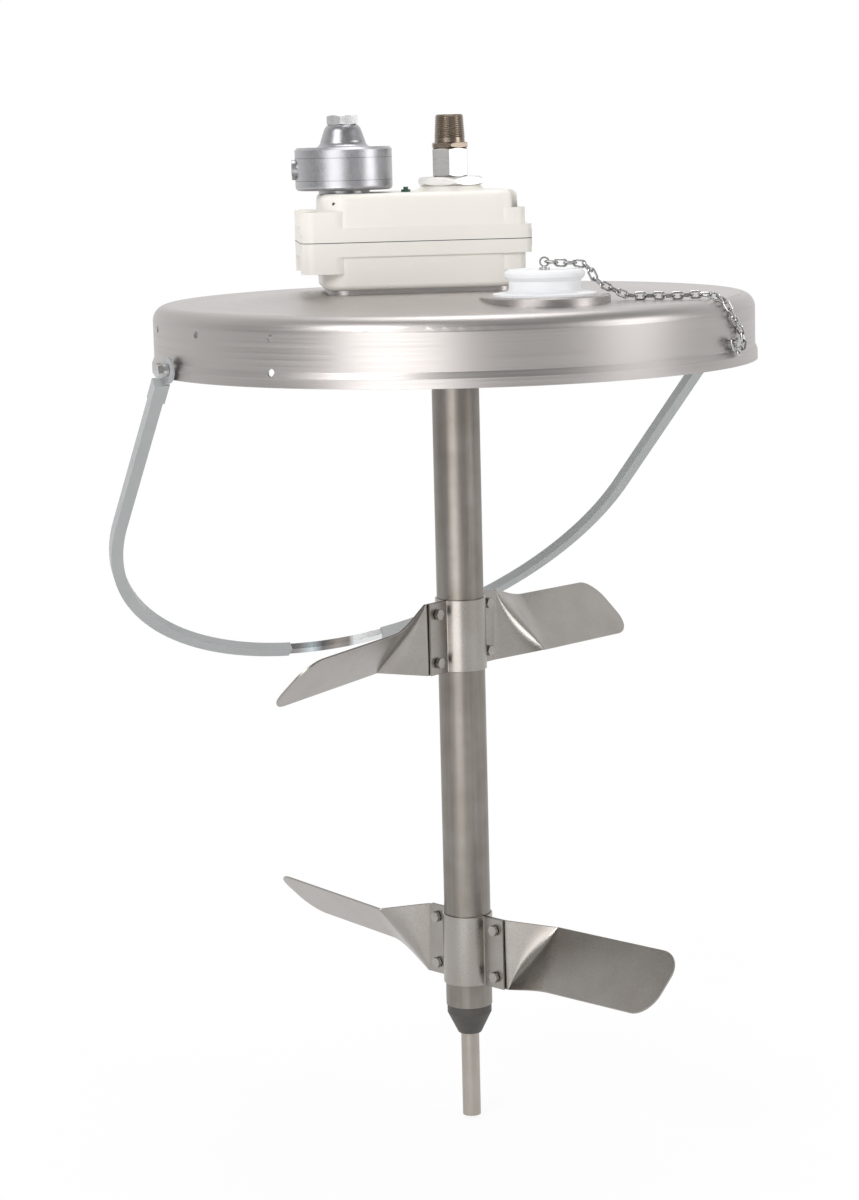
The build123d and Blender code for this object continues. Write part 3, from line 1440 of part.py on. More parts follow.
# The grip is a plated strap nested in both channels.
with BuildPart() as bail_grip:
    with BuildLine(bail_plane) as grip_line:
        CenterArc(
            (0, bail_arc_depth), bail_arc_radius, grip_from - grip_lap, grip_to - grip_from + 2 * grip_lap
        )
    grip_edge = grip_line.edges()[0]
    grip_plane = Plane(
        origin=grip_edge @ 0, x_dir=(grip_edge % 0).cross(bail_normal), z_dir=grip_edge % 0
    )
    grip_width = bail_channel_width - 2 * (bail_wall + seat_gap)
    with BuildSketch(grip_plane):
        with Locations((0, (bail_channel_depth - grip_depth) / 2 - bail_wall - seat_gap)):
            Rectangle(grip_width, grip_depth)
            with Locations((0, -grip_wall / 2)):
                Rectangle(grip_width - 2 * grip_wall, grip_depth - grip_wall, mode=Mode.SUBTRACT)
    sweep(path=grip_line.wires()[0])
bail_grip.part.label = "bail_grip"
export_step(bail_grip.part, "parts/bail_grip.step")

# Each ear is a plate that turns on the pivot bolt, with a saddle round the channel's end.
ear_middle = Plane(origin=bail_plane.from_local_coords((ear_inner, 0)), x_dir=bail_reach, z_dir=bail_axis)
with BuildPart() as ear:
    with BuildSketch(ear_middle):
        Circle(ear_radius)
        with Locations((ear_end / 2, (saddle_wall - bail_channel_depth) / 2 + ear_radius / 2)):
            Rectangle(ear_end, bail_channel_depth)
        make_hull()
        Circle(pivot_bolt_radius + running_gap, mode=Mode.SUBTRACT)
    extrude(amount=ear_thickness)
    with BuildSketch(at_leg(ear_end - saddle_end)):
        with Locations((0, saddle_wall / 2)):
            Rectangle(bail_channel_width + 2 * saddle_wall, bail_channel_depth + saddle_wall)
    extrude(amount=saddle_end)
    with BuildSketch(at_leg(ear_end)):
        with Locations((0, saddle_wall / 2)):
            Rectangle(bail_channel_width + 2 * saddle_wall, bail_channel_depth + saddle_wall)
        Rectangle(bail_channel_width, bail_channel_depth, mode=Mode.SUBTRACT)
    extrude(amount=ear_length - ear_end)
with BuildPart() as bail_ears:
    add(ear.part)
    add(mirror(ear.part, about=middle_plane, mode=Mode.PRIVATE))
bail_ears.part.label = "bail_ears"
export_step(bail_ears.part, "parts/bail_ears.step")

# Pivot bolts with a shoulder, their nuts inside the skirt, and the bosses between.
with BuildPart() as bolt:
    with BuildSketch(middle_plane.offset(bolt_tip)):
        Circle(pivot_bolt_radius)
    extrude(amount=bolt_seat - bolt_tip)
    with BuildSketch(middle_plane.offset(ear_inner + ear_thickness + free_gap)):
        Circle(pivot_shoulder_radius)
    extrude(amount=bolt_seat - ear_inner - ear_thickness - free_gap)
    with BuildSketch(middle_plane.offset(bolt_seat)):
        RegularPolygon(pivot_head_flats / 2, 6, major_radius=False)
    extrude(amount=pivot_head_height)
with BuildPart() as nut:
    with BuildSketch(middle_plane.offset(bolt_tip)):
        RegularPolygon(pivot_head_flats / 2, 6, major_radius=False)
        Circle(pivot_bolt_radius + seat_gap, mode=Mode.SUBTRACT)
    extrude(amount=skirt_radius - sheet - free_gap - bolt_tip)
with BuildPart() as boss:
    with BuildSketch(middle_plane.offset(skirt_radius + boss_start)):
        Circle(pivot_boss_radius)
        Circle(pivot_bolt_radius + seat_gap, mode=Mode.SUBTRACT)
    extrude(amount=ear_inner - free_gap - skirt_radius - boss_start)
    add(drum_cover.part, mode=Mode.SUBTRACT)
for pivot_name, pivot_piece in (("pivot_bolts", bolt), ("pivot_nuts", nut), ("pivot_bosses", boss)):
    with BuildPart() as pivot_pair:
        add(pivot_piece.part)
        add(mirror(pivot_piece.part, about=middle_plane, mode=Mode.PRIVATE))
    pivot_pair.part.label = pivot_name
    export_step(pivot_pair.part, f"parts/{pivot_name}.step")
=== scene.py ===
import json
import math
import bpy
import numpy as np
from mathutils import Matrix, Vector


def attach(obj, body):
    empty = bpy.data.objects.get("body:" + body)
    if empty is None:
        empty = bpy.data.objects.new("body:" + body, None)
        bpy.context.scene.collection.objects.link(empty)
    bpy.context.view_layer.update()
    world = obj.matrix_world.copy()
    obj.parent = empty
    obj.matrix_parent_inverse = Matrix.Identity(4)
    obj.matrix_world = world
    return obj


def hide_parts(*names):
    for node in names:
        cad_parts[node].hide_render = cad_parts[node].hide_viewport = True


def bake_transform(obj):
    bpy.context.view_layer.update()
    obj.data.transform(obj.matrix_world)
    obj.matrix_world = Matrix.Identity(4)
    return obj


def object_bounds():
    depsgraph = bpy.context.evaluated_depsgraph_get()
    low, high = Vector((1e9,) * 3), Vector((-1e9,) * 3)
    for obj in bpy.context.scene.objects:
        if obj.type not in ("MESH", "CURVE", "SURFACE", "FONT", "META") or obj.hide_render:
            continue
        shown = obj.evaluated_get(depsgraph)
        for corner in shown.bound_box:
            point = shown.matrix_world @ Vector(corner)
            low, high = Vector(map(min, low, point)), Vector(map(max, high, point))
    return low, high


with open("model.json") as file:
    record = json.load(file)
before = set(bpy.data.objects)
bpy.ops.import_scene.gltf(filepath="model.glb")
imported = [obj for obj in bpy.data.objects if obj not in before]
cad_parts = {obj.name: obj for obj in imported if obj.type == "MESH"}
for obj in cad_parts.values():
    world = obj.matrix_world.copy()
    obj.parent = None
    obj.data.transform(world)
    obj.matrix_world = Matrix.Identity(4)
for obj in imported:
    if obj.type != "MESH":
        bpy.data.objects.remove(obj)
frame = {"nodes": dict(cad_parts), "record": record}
nodes = frame["nodes"]
cadBox = [list(corner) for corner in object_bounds()]
print("frame loaded:", len(nodes), "nodes")

# What all materials share. A noise value counts from low to high. The pairs are a noise's
# detail and roughness, or the least and the most of its roughness that a surface gets.
noiseValues = {
    "low": 0.3, "high": 0.7,
    "grain": (3.0, 0.6), "grainRough": (0.85, 1.2), "steelCloud": (3.0, 0.5),
    "peel": (2.0, 0.5), "peelRough": (0.9, 1.15), "paintCloud": (4.0, 0.55),
}


def addNode(tree, kind, inputs=None, **settings):
    # one shader node: its settings first, then each input, joined to an output or set to a value
    node = tree.nodes.new("ShaderNode" + kind)
    for setting, value in settings.items():
        setattr(node, setting, value)
    for socket, value in (inputs or {}).items():
        if isinstance(value, bpy.types.NodeSocket):
            tree.links.new(value, node.inputs[socket])
        else:
            node.inputs[socket].default_value = value
    return node


def newMaterial(name, color, metallic=0.0, roughness=0.5, specular=0.5):
    # a material whose tree grows from its Principled shader
    material = bpy.data.materials.new(name)
    material.use_nodes = True
    shader = material.node_tree.nodes["Principled BSDF"]
    shader.inputs["Base Color"].default_value = (*color, 1)
    shader.inputs["Metallic"].default_value = metallic
    shader.inputs["Roughness"].default_value = roughness
    shader.inputs["Specular IOR Level"].default_value = specular
    material.diffuse_color = (*color, 1)
    return material


def wire(material, socket, value):
    # joins a value to one socket of the Principled shader
    tree = material.node_tree
    tree.links.new(value, tree.nodes["Principled BSDF"].inputs[socket])


def objectSpace(material, scale=(1, 1, 1)):
    # object coordinates times one scale for each axis
    tree = material.node_tree
    place = addNode(tree, "TexCoord").outputs["Object"]
    return addNode(tree, "Mapping", {"Vector": place, "Scale": scale}).outputs["Vector"]


def turnedSpace(material, fine, coarse):
    # x and y at a coarse scale, and radius plus height at a fine one: lines round the Z axis
    tree = material.node_tree
    place = addNode(tree, "TexCoord").outputs["Object"]
    split = addNode(tree, "SeparateXYZ", {0: place}).outputs
    flat = addNode(tree, "VectorMath", {0: place, 1: (1, 1, 0)}, operation="MULTIPLY")
    radius = addNode(tree, "VectorMath", {0: flat.outputs[0]}, operation="LENGTH")
    total = combine(tree, "ADD", radius.outputs["Value"], split["Z"])
    joined = addNode(tree, "CombineXYZ", {"X": split["X"], "Y": split["Y"], "Z": total})
    scale = (coarse, coarse, fine)
    scaled = addNode(tree, "VectorMath", {0: joined.outputs[0], 1: scale}, operation="MULTIPLY")
    return scaled.outputs[0]


def noise(material, space, scale, character):
    # cloudy noise about 0.5; its character is how many finer layers it adds, and how strongly
    detail, rough = character
    inputs = {"Vector": space, "Scale": scale, "Detail": detail, "Roughness": rough}
    return addNode(material.node_tree, "TexNoise", inputs).outputs["Fac"]


def ramp(material, value, stops):
    # a color that runs in straight lines through the (position, color) stops
    band = addNode(material.node_tree, "ValToRGB", {"Fac": value})
    elements = band.color_ramp.elements
    while len(elements) < len(stops):
        elements.new(0.5)  # anywhere: each gets its place below
    for element, (position, color) in zip(elements, stops):
        element.position = position
        element.color = (*color, 1)
    return band.outputs["Color"]


def noiseRamp(material, value, first, last):
    # from the first color to the last as a noise value goes from low to high
    return ramp(material, value, [(noiseValues["low"], first), (noiseValues["high"], last)])


def remap(tree, value, fromRange, toRange, smooth=False):
    # one range of values onto another, level outside it: a straight line, or a smooth step
    inputs = {
        "Value": value, "From Min": fromRange[0], "From Max": fromRange[1],
        "To Min": toRange[0], "To Max": toRange[1],
    }
    kind = "SMOOTHSTEP" if smooth else "LINEAR"
    return addNode(tree, "MapRange", inputs, interpolation_type=kind).outputs["Result"]


def combine(tree, operation, first, second):
    # one step of arithmetic on two values
    return addNode(tree, "Math", {0: first, 1: second}, operation=operation).outputs[0]


def multiply(material, first, second):
    # the product of two colors
    inputs = {"Factor": 1.0, "A": first, "B": second}
    settings = {"data_type": "RGBA", "blend_type": "MULTIPLY"}
    return addNode(material.node_tree, "Mix", inputs, **settings).outputs["Result"]


def bump(material, height, distance):
    # tilts the surface as if a value from 0 to 1 were a height up to the distance
    inputs = {"Height": height, "Distance": distance}
    wire(material, "Normal", addNode(material.node_tree, "Bump", inputs).outputs["Normal"])


def roughen(material, value, roughness, shares):
    # the roughness times a share that follows a noise value
    noiseRange = (noiseValues["low"], noiseValues["high"])
    span = (roughness * shares[0], roughness * shares[1])
    wire(material, "Roughness", remap(material.node_tree, value, noiseRange, span))


def shade(color, factor):
    # a color times a factor, held at 1
    return tuple(min(c * factor, 1) for c in color)


def brushedSteel(name, look):
    # fine streaks or turned lines in color, roughness and height, times large darker clouds
    material = newMaterial(name, look["color"], metallic=1.0, roughness=look["roughness"])
    if look["lay"] == "turned":
        space = turnedSpace(material, look["fine"], look["coarse"])
    else:
        space = objectSpace(material, look["stretch"])
    grain = noise(material, space, 1.0, noiseValues["grain"])  # the space has the scale
    cloud = noise(material, objectSpace(material), look["cloudScale"], noiseValues["steelCloud"])
    dark = shade(look["color"], 1 - look["grainDepth"])
    light = shade(look["color"], 1 + look["grainDepth"])
    streaks = noiseRamp(material, grain, dark, light)
    patches = noiseRamp(material, cloud, look["cloudDark"], (1, 1, 1))
    wire(material, "Base Color", multiply(material, streaks, patches))
    roughen(material, grain, look["roughness"], noiseValues["grainRough"])
    bump(material, grain, look["bump"])
    return material


def paint(name, look):
    # slightly darker clouds in the color, and a fine peel in roughness and height
    material = newMaterial(name, look["color"], roughness=look["roughness"])
    cloud = noise(material, objectSpace(material), look["cloudScale"], noiseValues["paintCloud"])
    peel = noise(material, objectSpace(material), look["peelScale"], noiseValues["peel"])
    dark = shade(look["color"], 1 - look["cloudDepth"])
    wire(material, "Base Color", noiseRamp(material, cloud, dark, look["color"]))
    roughen(material, peel, look["roughness"], noiseValues["peelRough"])
    bump(material, peel, look["bump"])
    return material


def reflectionBandedSteel(name, look):
    # painted highlights and painted dark reflections: bright and dark bands of color along the X
    # axis, between two places
    material = newMaterial(name, look["color"], metallic=1.0, roughness=look["roughness"])
    tree = material.node_tree
    place = addNode(tree, "SeparateXYZ", {0: objectSpace(material)}).outputs["X"]
    along = remap(tree, place, (look["from"], look["to"]), (0.0, 1.0))
    wire(material, "Base Color", ramp(material, along, look["bands"]))
    return material


print("material helpers ready")

coverLook = {
    "color": (0.46, 0.435, 0.425), "roughness": 0.38, "lay": "turned", "fine": 500.0,
    "coarse": 2.5, "grainDepth": 0.025, "cloudScale": 5.0, "cloudDark": (0.95, 0.945, 0.94),
    "bump": 0.000004,
}
tubeLook = {
    "color": (0.27, 0.25, 0.23), "roughness": 0.38, "lay": "straight", "stretch": (200, 200, 6),
    "grainDepth": 0.12, "cloudScale": 30.0, "cloudDark": (0.80, 0.78, 0.75), "bump": 0.00001,
}
bladeLook = {
    "color": (0.37, 0.35, 0.33), "roughness": 0.3, "lay": "straight", "stretch": (900, 900, 900),
    "grainDepth": 0.05, "cloudScale": 30.0, "cloudDark": (0.90, 0.88, 0.86), "bump": 0.0000002,
}
fittingLook = {
    "color": (0.72, 0.71, 0.69), "roughness": 0.3, "lay": "turned", "fine": 1500.0,
    "coarse": 20.0, "grainDepth": 0.07, "cloudScale": 30.0, "cloudDark": (0.88, 0.87, 0.86),
    "bump": 0.00001,
}
nippleLook = {
    "color": (0.25, 0.205, 0.165), "roughness": 0.28, "lay": "turned", "fine": 900.0,
    "coarse": 20.0, "grainDepth": 0.05, "cloudScale": 40.0, "cloudDark": (0.86, 0.84, 0.82),
    "bump": 0.000001,
}
gearLook = {
    "color": (0.5, 0.5, 0.51), "roughness": 0.35, "lay": "straight", "stretch": (90, 90, 90),
    "grainDepth": 0.08, "cloudScale": 30.0, "cloudDark": (0.85, 0.85, 0.85), "bump": 0.00001,
}
zincLook = {
    "color": (0.55, 0.55, 0.55), "roughness": 0.24, "lay": "straight", "stretch": (120, 120, 120),
    "grainDepth": 0.10, "cloudScale": 60.0, "cloudDark": (0.80, 0.79, 0.78), "bump": 0.000004,
}
motorLook = {
    "color": (0.46, 0.46, 0.475), "roughness": 0.34, "lay": "straight", "stretch": (420, 420, 420),
    "grainDepth": 0.07, "cloudScale": 30.0, "cloudDark": (0.86, 0.86, 0.87), "bump": 0.00003,
}
blackLook = {
    "color": (0.05, 0.05, 0.055), "roughness": 0.4, "lay": "straight", "stretch": (300, 300, 300),
    "grainDepth": 0.2, "cloudScale": 60.0, "cloudDark": (0.7, 0.7, 0.7), "bump": 0.00001,
}
siphonLook = {
    "color": (0.42, 0.39, 0.355), "roughness": 0.34, "lay": "straight", "stretch": (200, 200, 6),
    "grainDepth": 0.08, "cloudScale": 30.0, "cloudDark": (0.88, 0.86, 0.84), "bump": 0.00001,
}
screwLook = {
    "color": (0.42, 0.40, 0.38), "roughness": 0.3, "lay": "straight", "stretch": (90, 90, 90),
    "grainDepth": 0.05, "cloudScale": 60.0, "cloudDark": (0.8, 0.78, 0.76), "bump": 0.000001,
}
hexLook = {
    "color": (0.88, 0.88, 0.89), "roughness": 0.3, "lay": "straight", "stretch": (90, 90, 90),
    "grainDepth": 0.02, "cloudScale": 30.0, "cloudDark": (0.94, 0.94, 0.94), "bump": 0.000001,
}
# the bail strip's color stops are painted highlights and painted dark reflections along its length
stripReflectionLook = {
    "color": (0.42, 0.43, 0.44), "roughness": 0.24, "from": -0.180, "to": -0.085,
    "bands": [
        (0.0, (0.30, 0.27, 0.25)), (0.16, (0.20, 0.19, 0.18)), (0.30, (0.30, 0.30, 0.29)),
        (0.46, (0.62, 0.70, 0.74)), (0.60, (0.16, 0.16, 0.16)), (0.78, (0.33, 0.30, 0.28)),
        (0.92, (0.24, 0.22, 0.21)), (1.0, (0.75, 0.77, 0.78)),
    ],
}
housingLook = {
    "color": (0.83, 0.80, 0.745), "roughness": 0.36, "cloudScale": 9.0, "cloudDepth": 0.03,
    "peelScale": 260.0, "bump": 0.00004,
}
bailLook = {
    "color": (0.36, 0.372, 0.375), "roughness": 0.36, "cloudScale": 14.0, "cloudDepth": 0.07,
    "peelScale": 70.0, "bump": 0.000006,
}
capLook = {
    "color": (0.84, 0.845, 0.86), "roughness": 0.4, "cloudScale": 20.0, "cloudDepth": 0.02,
    "peelScale": 300.0, "bump": 0.00002,
}
plugLook = {
    "color": (0.03, 0.09, 0.07), "roughness": 0.4, "cloudScale": 60.0, "cloudDepth": 0.2,
    "peelScale": 500.0, "bump": 0.00003,
}
bushingLook = {
    "color": (0.065, 0.06, 0.054), "roughness": 0.5, "cloudScale": 40.0, "cloudDepth": 0.25,
    "peelScale": 400.0, "bump": 0.00004,
}
rubberLook = {
    "color": (0.03, 0.03, 0.03), "roughness": 0.6, "cloudScale": 60.0, "cloudDepth": 0.2,
    "peelScale": 500.0, "bump": 0.00003,
}
vaneLook = {
    "color": (0.14, 0.09, 0.05), "roughness": 0.55, "cloudScale": 60.0, "cloudDepth": 0.2,
    "peelScale": 500.0, "bump": 0.00003,
}
# dark color for painted shade: the motor's seam rings and the housing's pin hole
paintedShadeLook = {
    "color": (0.07, 0.07, 0.075), "roughness": 0.6, "cloudScale": 60.0, "cloudDepth": 0.2,
    "peelScale": 500.0, "bump": 0.00001,
}
slotMaterials = {
    "cover_steel": brushedSteel("coverSteel", coverLook),
    "shaft_steel": brushedSteel("tubeSteel", tubeLook),
    "blade_steel": brushedSteel("bladeSteel", bladeLook),
    "fitting_steel": brushedSteel("fittingSteel", fittingLook),
    "nipple_steel": brushedSteel("nippleSteel", nippleLook),
    "gear_steel": brushedSteel("gearSteel", gearLook),
    "zinc": brushedSteel("zincPlate", zincLook),
    "motor_aluminium": brushedSteel("castAluminium", motorLook),
    "black_steel": brushedSteel("blackOxide", blackLook),
    "housing_paint": paint("housingPaint", housingLook),
    "bail_paint": paint("bailPaint", bailLook),
    "cap_plastic": paint("capPlastic", capLook),
    "plug_plastic": paint("plugPlastic", plugLook),
    "bushing_plastic": paint("bushingPlastic", bushingLook),
    "gasket": paint("gasketPaper", rubberLook),
    "seal_rubber": paint("sealRubber", rubberLook),
    "vane_plastic": paint("vanePlastic", vaneLook),
}
ownMaterials = {
    "siphon_tube": brushedSteel("siphonSteel", siphonLook),
    "bail_grip": reflectionBandedSteel("stripPaintedReflections", stripReflectionLook),
    "motor_bearing_cap": brushedSteel("hexAluminium", hexLook),
    "clamp_screws": brushedSteel("screwSteel", screwLook),
}
paintedShadeMaterial = paint("seamShade", paintedShadeLook)
# every CAD node takes its slot's material, and four nodes one of their own
for entry in frame["record"]["subparts"]:
    mesh = nodes[entry["node"]].data
    mesh.materials.clear()
    mesh.materials.append(slotMaterials[entry["material_slot"]])
for node, material in ownMaterials.items():
    nodes[node].data.materials[0] = material
print("materials made:", len(slotMaterials) + len(ownMaterials) + 1)

sharpAngle = 35  # degrees: an edge that bends by more stays sharp


def nodeCorners(node):
    # all corner points of a CAD node, one in each row
    corners = nodes[node].data.vertices
    values = np.empty(3 * len(corners), np.float32)
    corners.foreach_get("co", values)
    return values.reshape(-1, 3).astype(float)


def circle(points):
    # angles evenly round a full turn
    return np.linspace(0, 2 * math.pi, points, endpoint=False)


def gridMesh(loops, closeLoops=False):
    # Loops is an array of closed loops of points. Faces join each point to its neighbour on the
    # loop and to the same two points on the next loop, and on from the last loop if they close.
    count, around = loops.shape[:2]
    steps = count if closeLoops else count - 1
    i = np.arange(steps)[:, None]
    j = np.arange(around)[None, :]
    nextI, nextJ = (i + 1) % count, (j + 1) % around
    corners = [i * around + j, i * around + nextJ, nextI * around + nextJ, nextI * around + j]
    return loops.reshape(-1, 3), np.stack(corners, -1).reshape(-1, 4)


def makePiece(name, vertices, faces, material, body):
    # A smooth mesh with sharp edges where it bends by more than the sharp angle. It rides on its
    # body, if it is given one.
    mesh = bpy.data.meshes.new(name)
    mesh.from_pydata(vertices.tolist(), [], faces)
    mesh.validate()
    mesh.polygons.foreach_set("use_smooth", np.ones(len(mesh.polygons), bool))
    mesh.set_sharp_from_angle(angle=math.radians(sharpAngle))
    mesh.materials.append(material)
    piece = bpy.data.objects.new(name, mesh)
    bpy.context.scene.collection.objects.link(piece)
    if body:
        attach(piece, body)
    return piece


def turnedPiece(name, outline, axis, segments, material, body):
    # a closed outline of radius and height, turned round an upright axis
    angle = circle(segments)
    around = np.stack([np.cos(angle), np.sin(angle)], -1)
    flat = around[:, None] * outline[None, :, :1] + np.array(axis)
    height = np.broadcast_to(outline[None, :, 1:], (segments, len(outline), 1))
    vertices, faces = gridMesh(np.concatenate([flat, height], -1), closeLoops=True)
    return makePiece(name, vertices, faces.tolist(), material, body)


# Chain: one link of round wire for each solid link of the CAD chain. The wire's middle line runs
# inside the solid link's edge by the inset.
chainValues = {
    "links": 31, "wire": 0.00108, "inset": 0.0008, "pathPoints": 36, "sectionPoints": 10,
    "liftedReach": 0.062, "restingReach": 0.185,
}


def roundLink(solid):
    # A circle of the link's half width, its two halves pushed apart along the link, carries a
    # round section. The link's length, width and thickness are its corners' main directions.
    middle = solid.mean(0)
    along, across, normal = np.linalg.svd(solid - middle, full_matrices=False)[2]
    halfLength = np.abs((solid - middle) @ along).max() - chainValues["inset"]
    halfWidth = np.abs((solid - middle) @ across).max() - chainValues["inset"]
    angle = circle(chainValues["pathPoints"])
    apart = np.sign(np.cos(angle)) * (halfLength - halfWidth)
    path = (
        middle
        + np.outer(np.cos(angle) * halfWidth + apart, along)
        + np.outer(np.sin(angle) * halfWidth, across)
    )
    outward = np.outer(np.cos(angle), along) + np.outer(np.sin(angle), across)
    turn = circle(chainValues["sectionPoints"])[None, :, None]
    return (
        path[:, None]
        + chainValues["wire"] * np.cos(turn) * outward[:, None]
        + chainValues["wire"] * np.sin(turn) * normal
    )


links = nodeCorners("chain").reshape(chainValues["links"], -1, 3)
linkMeshes = [gridMesh(roundLink(solid), closeLoops=True) for solid in links]
chainVertices = np.concatenate([vertices for vertices, faces in linkMeshes])
chainFaces = np.concatenate([
    faces + link * len(vertices) for link, (vertices, faces) in enumerate(linkMeshes)
])
chainPiece = makePiece(
    "round_chain", chainVertices, chainFaces.tolist(), slotMaterials["zinc"], None
)
middles = links.mean(1)
eye = nodeCorners("cap_eye").mean(0)
if np.linalg.norm(middles[0] - eye) > np.linalg.norm(middles[-1] - eye):
    middles = middles[::-1]
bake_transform(chainPiece)
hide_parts("chain")
print("chain made")

# Propellers: each stamping is a sheet of straight lines from its lower to its upper edge. Both
# edges are paths through the corners of the folds, from the small flange round half the tube,
# along the root flange and through the twist to the tip. A station is a place along a path: one
# bend's length in the clamp, one fold in the twist, and one blade step beyond it.
bladeValues = {
    "sheet": 0.0019, "width": 0.074, "inner": 0.02418, "gap": 0.0012, "smallFlange": 0.053,
    "rootFlange": 0.0545, "rootLean": 0.002, "nearFold": 0.097, "farFold": 0.120, "tip": 0.276,
    "tipLean": 0.003, "rounding": 0.027, "pitch": 46.2, "yaw": -3.6, "droop": -2.3,
    "offset": 0.0142, "lift": -0.00065, "bend": 0.0030, "bladeStep": 0.030, "window": 1.05,
    "chamfer": 0.0004, "edgeShare": 0.55, "twistStations": 3,
    "ringPoints": 27, "windowPoints": 41, "columns": 15,
    "clampRows": 150, "twistRows": 90, "bladeRows": 16, "tipRows": 14,
}
# each stamping's height and turn round the shaft, and its turns from the first one's X and Z
bladePlaces = {
    "upper_blade_front": (-0.3426, 46.2, 0, 0), "upper_blade_rear": (-0.3426, 46.2, 0, 180),
    "lower_blade_rear": (-0.6758, -50.6, 180, 0), "lower_blade_front": (-0.6758, -50.6, 180, 180),
}


def onBlade(reach, across):
    # reach along the yawed and drooped blade, across its pitched width
    yaw, droop, pitch = (math.radians(bladeValues[key]) for key in ("yaw", "droop", "pitch"))
    forward = bladeValues["offset"] + reach * math.sin(yaw) - across * math.sin(pitch)
    height = bladeValues["lift"] + reach * math.sin(droop) + across * math.cos(pitch)
    return (reach * math.cos(yaw) * math.cos(droop), -forward, height)


def foldedEdges():
    # The lower and the upper edge as corner points, and their stations. In plan, a flange, half a
    # circle round the tube and the other flange; then the twist's fold and the tip. Both paths
    # run straight on past their ends, so that the average keeps the ends in place.
    v = bladeValues
    half = v["width"] / 2
    flangeY = -(v["gap"] + v["sheet"]) / 2
    ringRadius = v["inner"] + v["sheet"] / 2
    ringStart = math.asin(-flangeY / ringRadius)
    ringAngles = np.linspace(math.pi + ringStart, 2 * math.pi - ringStart, v["ringPoints"])
    ring = np.stack([np.cos(ringAngles), np.sin(ringAngles)], -1) * ringRadius
    plan = np.concatenate([[[-v["smallFlange"], flangeY]], ring, [[v["rootFlange"], flangeY]]])
    steps = np.linalg.norm(np.diff(plan, axis=0), axis=1) / v["bend"]
    clampStations = np.concatenate([[0], np.cumsum(steps)])
    last = clampStations[-1]
    bladeSpan = (v["tip"] - v["nearFold"]) / v["bladeStep"]
    tip = last + 2 + bladeSpan
    stations = np.concatenate([[-1], clampStations, [last + 1, last + 2, tip, tip + 1]])
    lower = np.column_stack([plan, np.full(len(plan), -half)])
    upper = np.column_stack([plan, np.full(len(plan), half)])
    upper[-1, 0] += v["rootLean"]
    foot, head = onBlade(v["nearFold"], -half), onBlade(v["farFold"], half)
    lower = np.vstack([lower, foot, foot, onBlade(v["tip"], -half)])
    upper = np.vstack([upper, upper[-1], head, onBlade(v["tip"] - v["tipLean"], half)])
    paths = []
    for path in (lower, upper):
        first = path[0] - (path[1] - path[0]) / clampStations[1]
        beyond = path[-1] + (path[-1] - path[-2]) / bladeSpan
        paths.append(np.vstack([first, path, beyond]))
    return paths, stations, last, tip


def stampedBlade():
    # Each edge is its path averaged over a window, which rounds every fold. The sheet's middle
    # is straight lines between the edges, drawn in at the tip's round corners, and its two faces
    # lie half the sheet's thickness away along the normal.
    v = bladeValues
    paths, stations, last, tip = foldedEdges()
    # rows: even in the clamp, fine in the twist, then by the angle of the tip's round corners
    turn = np.linspace(0, math.pi / 2, v["tipRows"])
    twistEnd = last + v["twistStations"]
    roundSpan = v["rounding"] / v["bladeStep"]
    rows = np.concatenate([
        np.linspace(0, last, v["clampRows"], endpoint=False),
        np.linspace(last, twistEnd, v["twistRows"], endpoint=False),
        np.linspace(twistEnd, tip - roundSpan, v["bladeRows"], endpoint=False),
        tip - roundSpan * (1 - np.sin(turn)),
    ])
    inset = np.concatenate([np.zeros(len(rows) - len(turn)), v["rounding"] * (1 - np.cos(turn))])
    window = rows[:, None] + np.linspace(-0.5, 0.5, v["windowPoints"]) * v["window"]
    edges = [
        np.stack([np.interp(window, stations, path[:, axis]).mean(1) for axis in range(3)], -1)
        for path in paths
    ]
    # columns: evenly between the edges, with a narrow chamfer at each
    share = np.linspace(0, 1, v["columns"])
    margin = v["chamfer"] / v["width"]
    share = np.concatenate([[0], [margin], share[1:-1], [1 - margin], [1]])
    thin = np.ones(len(share))
    thin[[0, -1]] = v["edgeShare"]
    narrow = inset[:, None] / v["width"]
    across = (narrow + (1 - 2 * narrow) * share)[..., None]
    sheet = edges[0][:, None] * (1 - across) + edges[1][:, None] * across
    normal = np.cross(np.gradient(sheet, axis=0), np.gradient(sheet, axis=1))
    normal /= np.linalg.norm(normal, axis=2, keepdims=True)
    offset = normal * (thin * v["sheet"] / 2)[None, :, None]
    loops = np.concatenate([sheet + offset, (sheet - offset)[:, ::-1]], 1)
    vertices, faces = gridMesh(loops)
    # end caps: strips between the two faces of the first and the last row
    count = loops.shape[1]
    j = np.arange(len(share) - 1)
    strip = np.stack([j, j + 1, count - 2 - j, count - 1 - j], -1)
    lastRow = (len(rows) - 1) * count
    return vertices, np.concatenate([faces, strip[:, ::-1], strip + lastRow]).tolist()


bladeVertices, bladeFaces = stampedBlade()
for node, (height, angle, flip, turned) in bladePlaces.items():
    placing = np.array(
        Matrix.Translation((0, 0, height))
        @ Matrix.Rotation(math.radians(angle), 4, "Z")
        @ Matrix.Rotation(math.radians(flip), 4, "X")
        @ Matrix.Rotation(math.radians(turned), 4, "Z")
    )
    vertices = bladeVertices @ placing[:3, :3].T + placing[:3, 3]
    steel = slotMaterials["blade_steel"]
    piece = makePiece("stamped_" + node, vertices, bladeFaces, steel, "agitator")
    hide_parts(node)
print("propellers made")
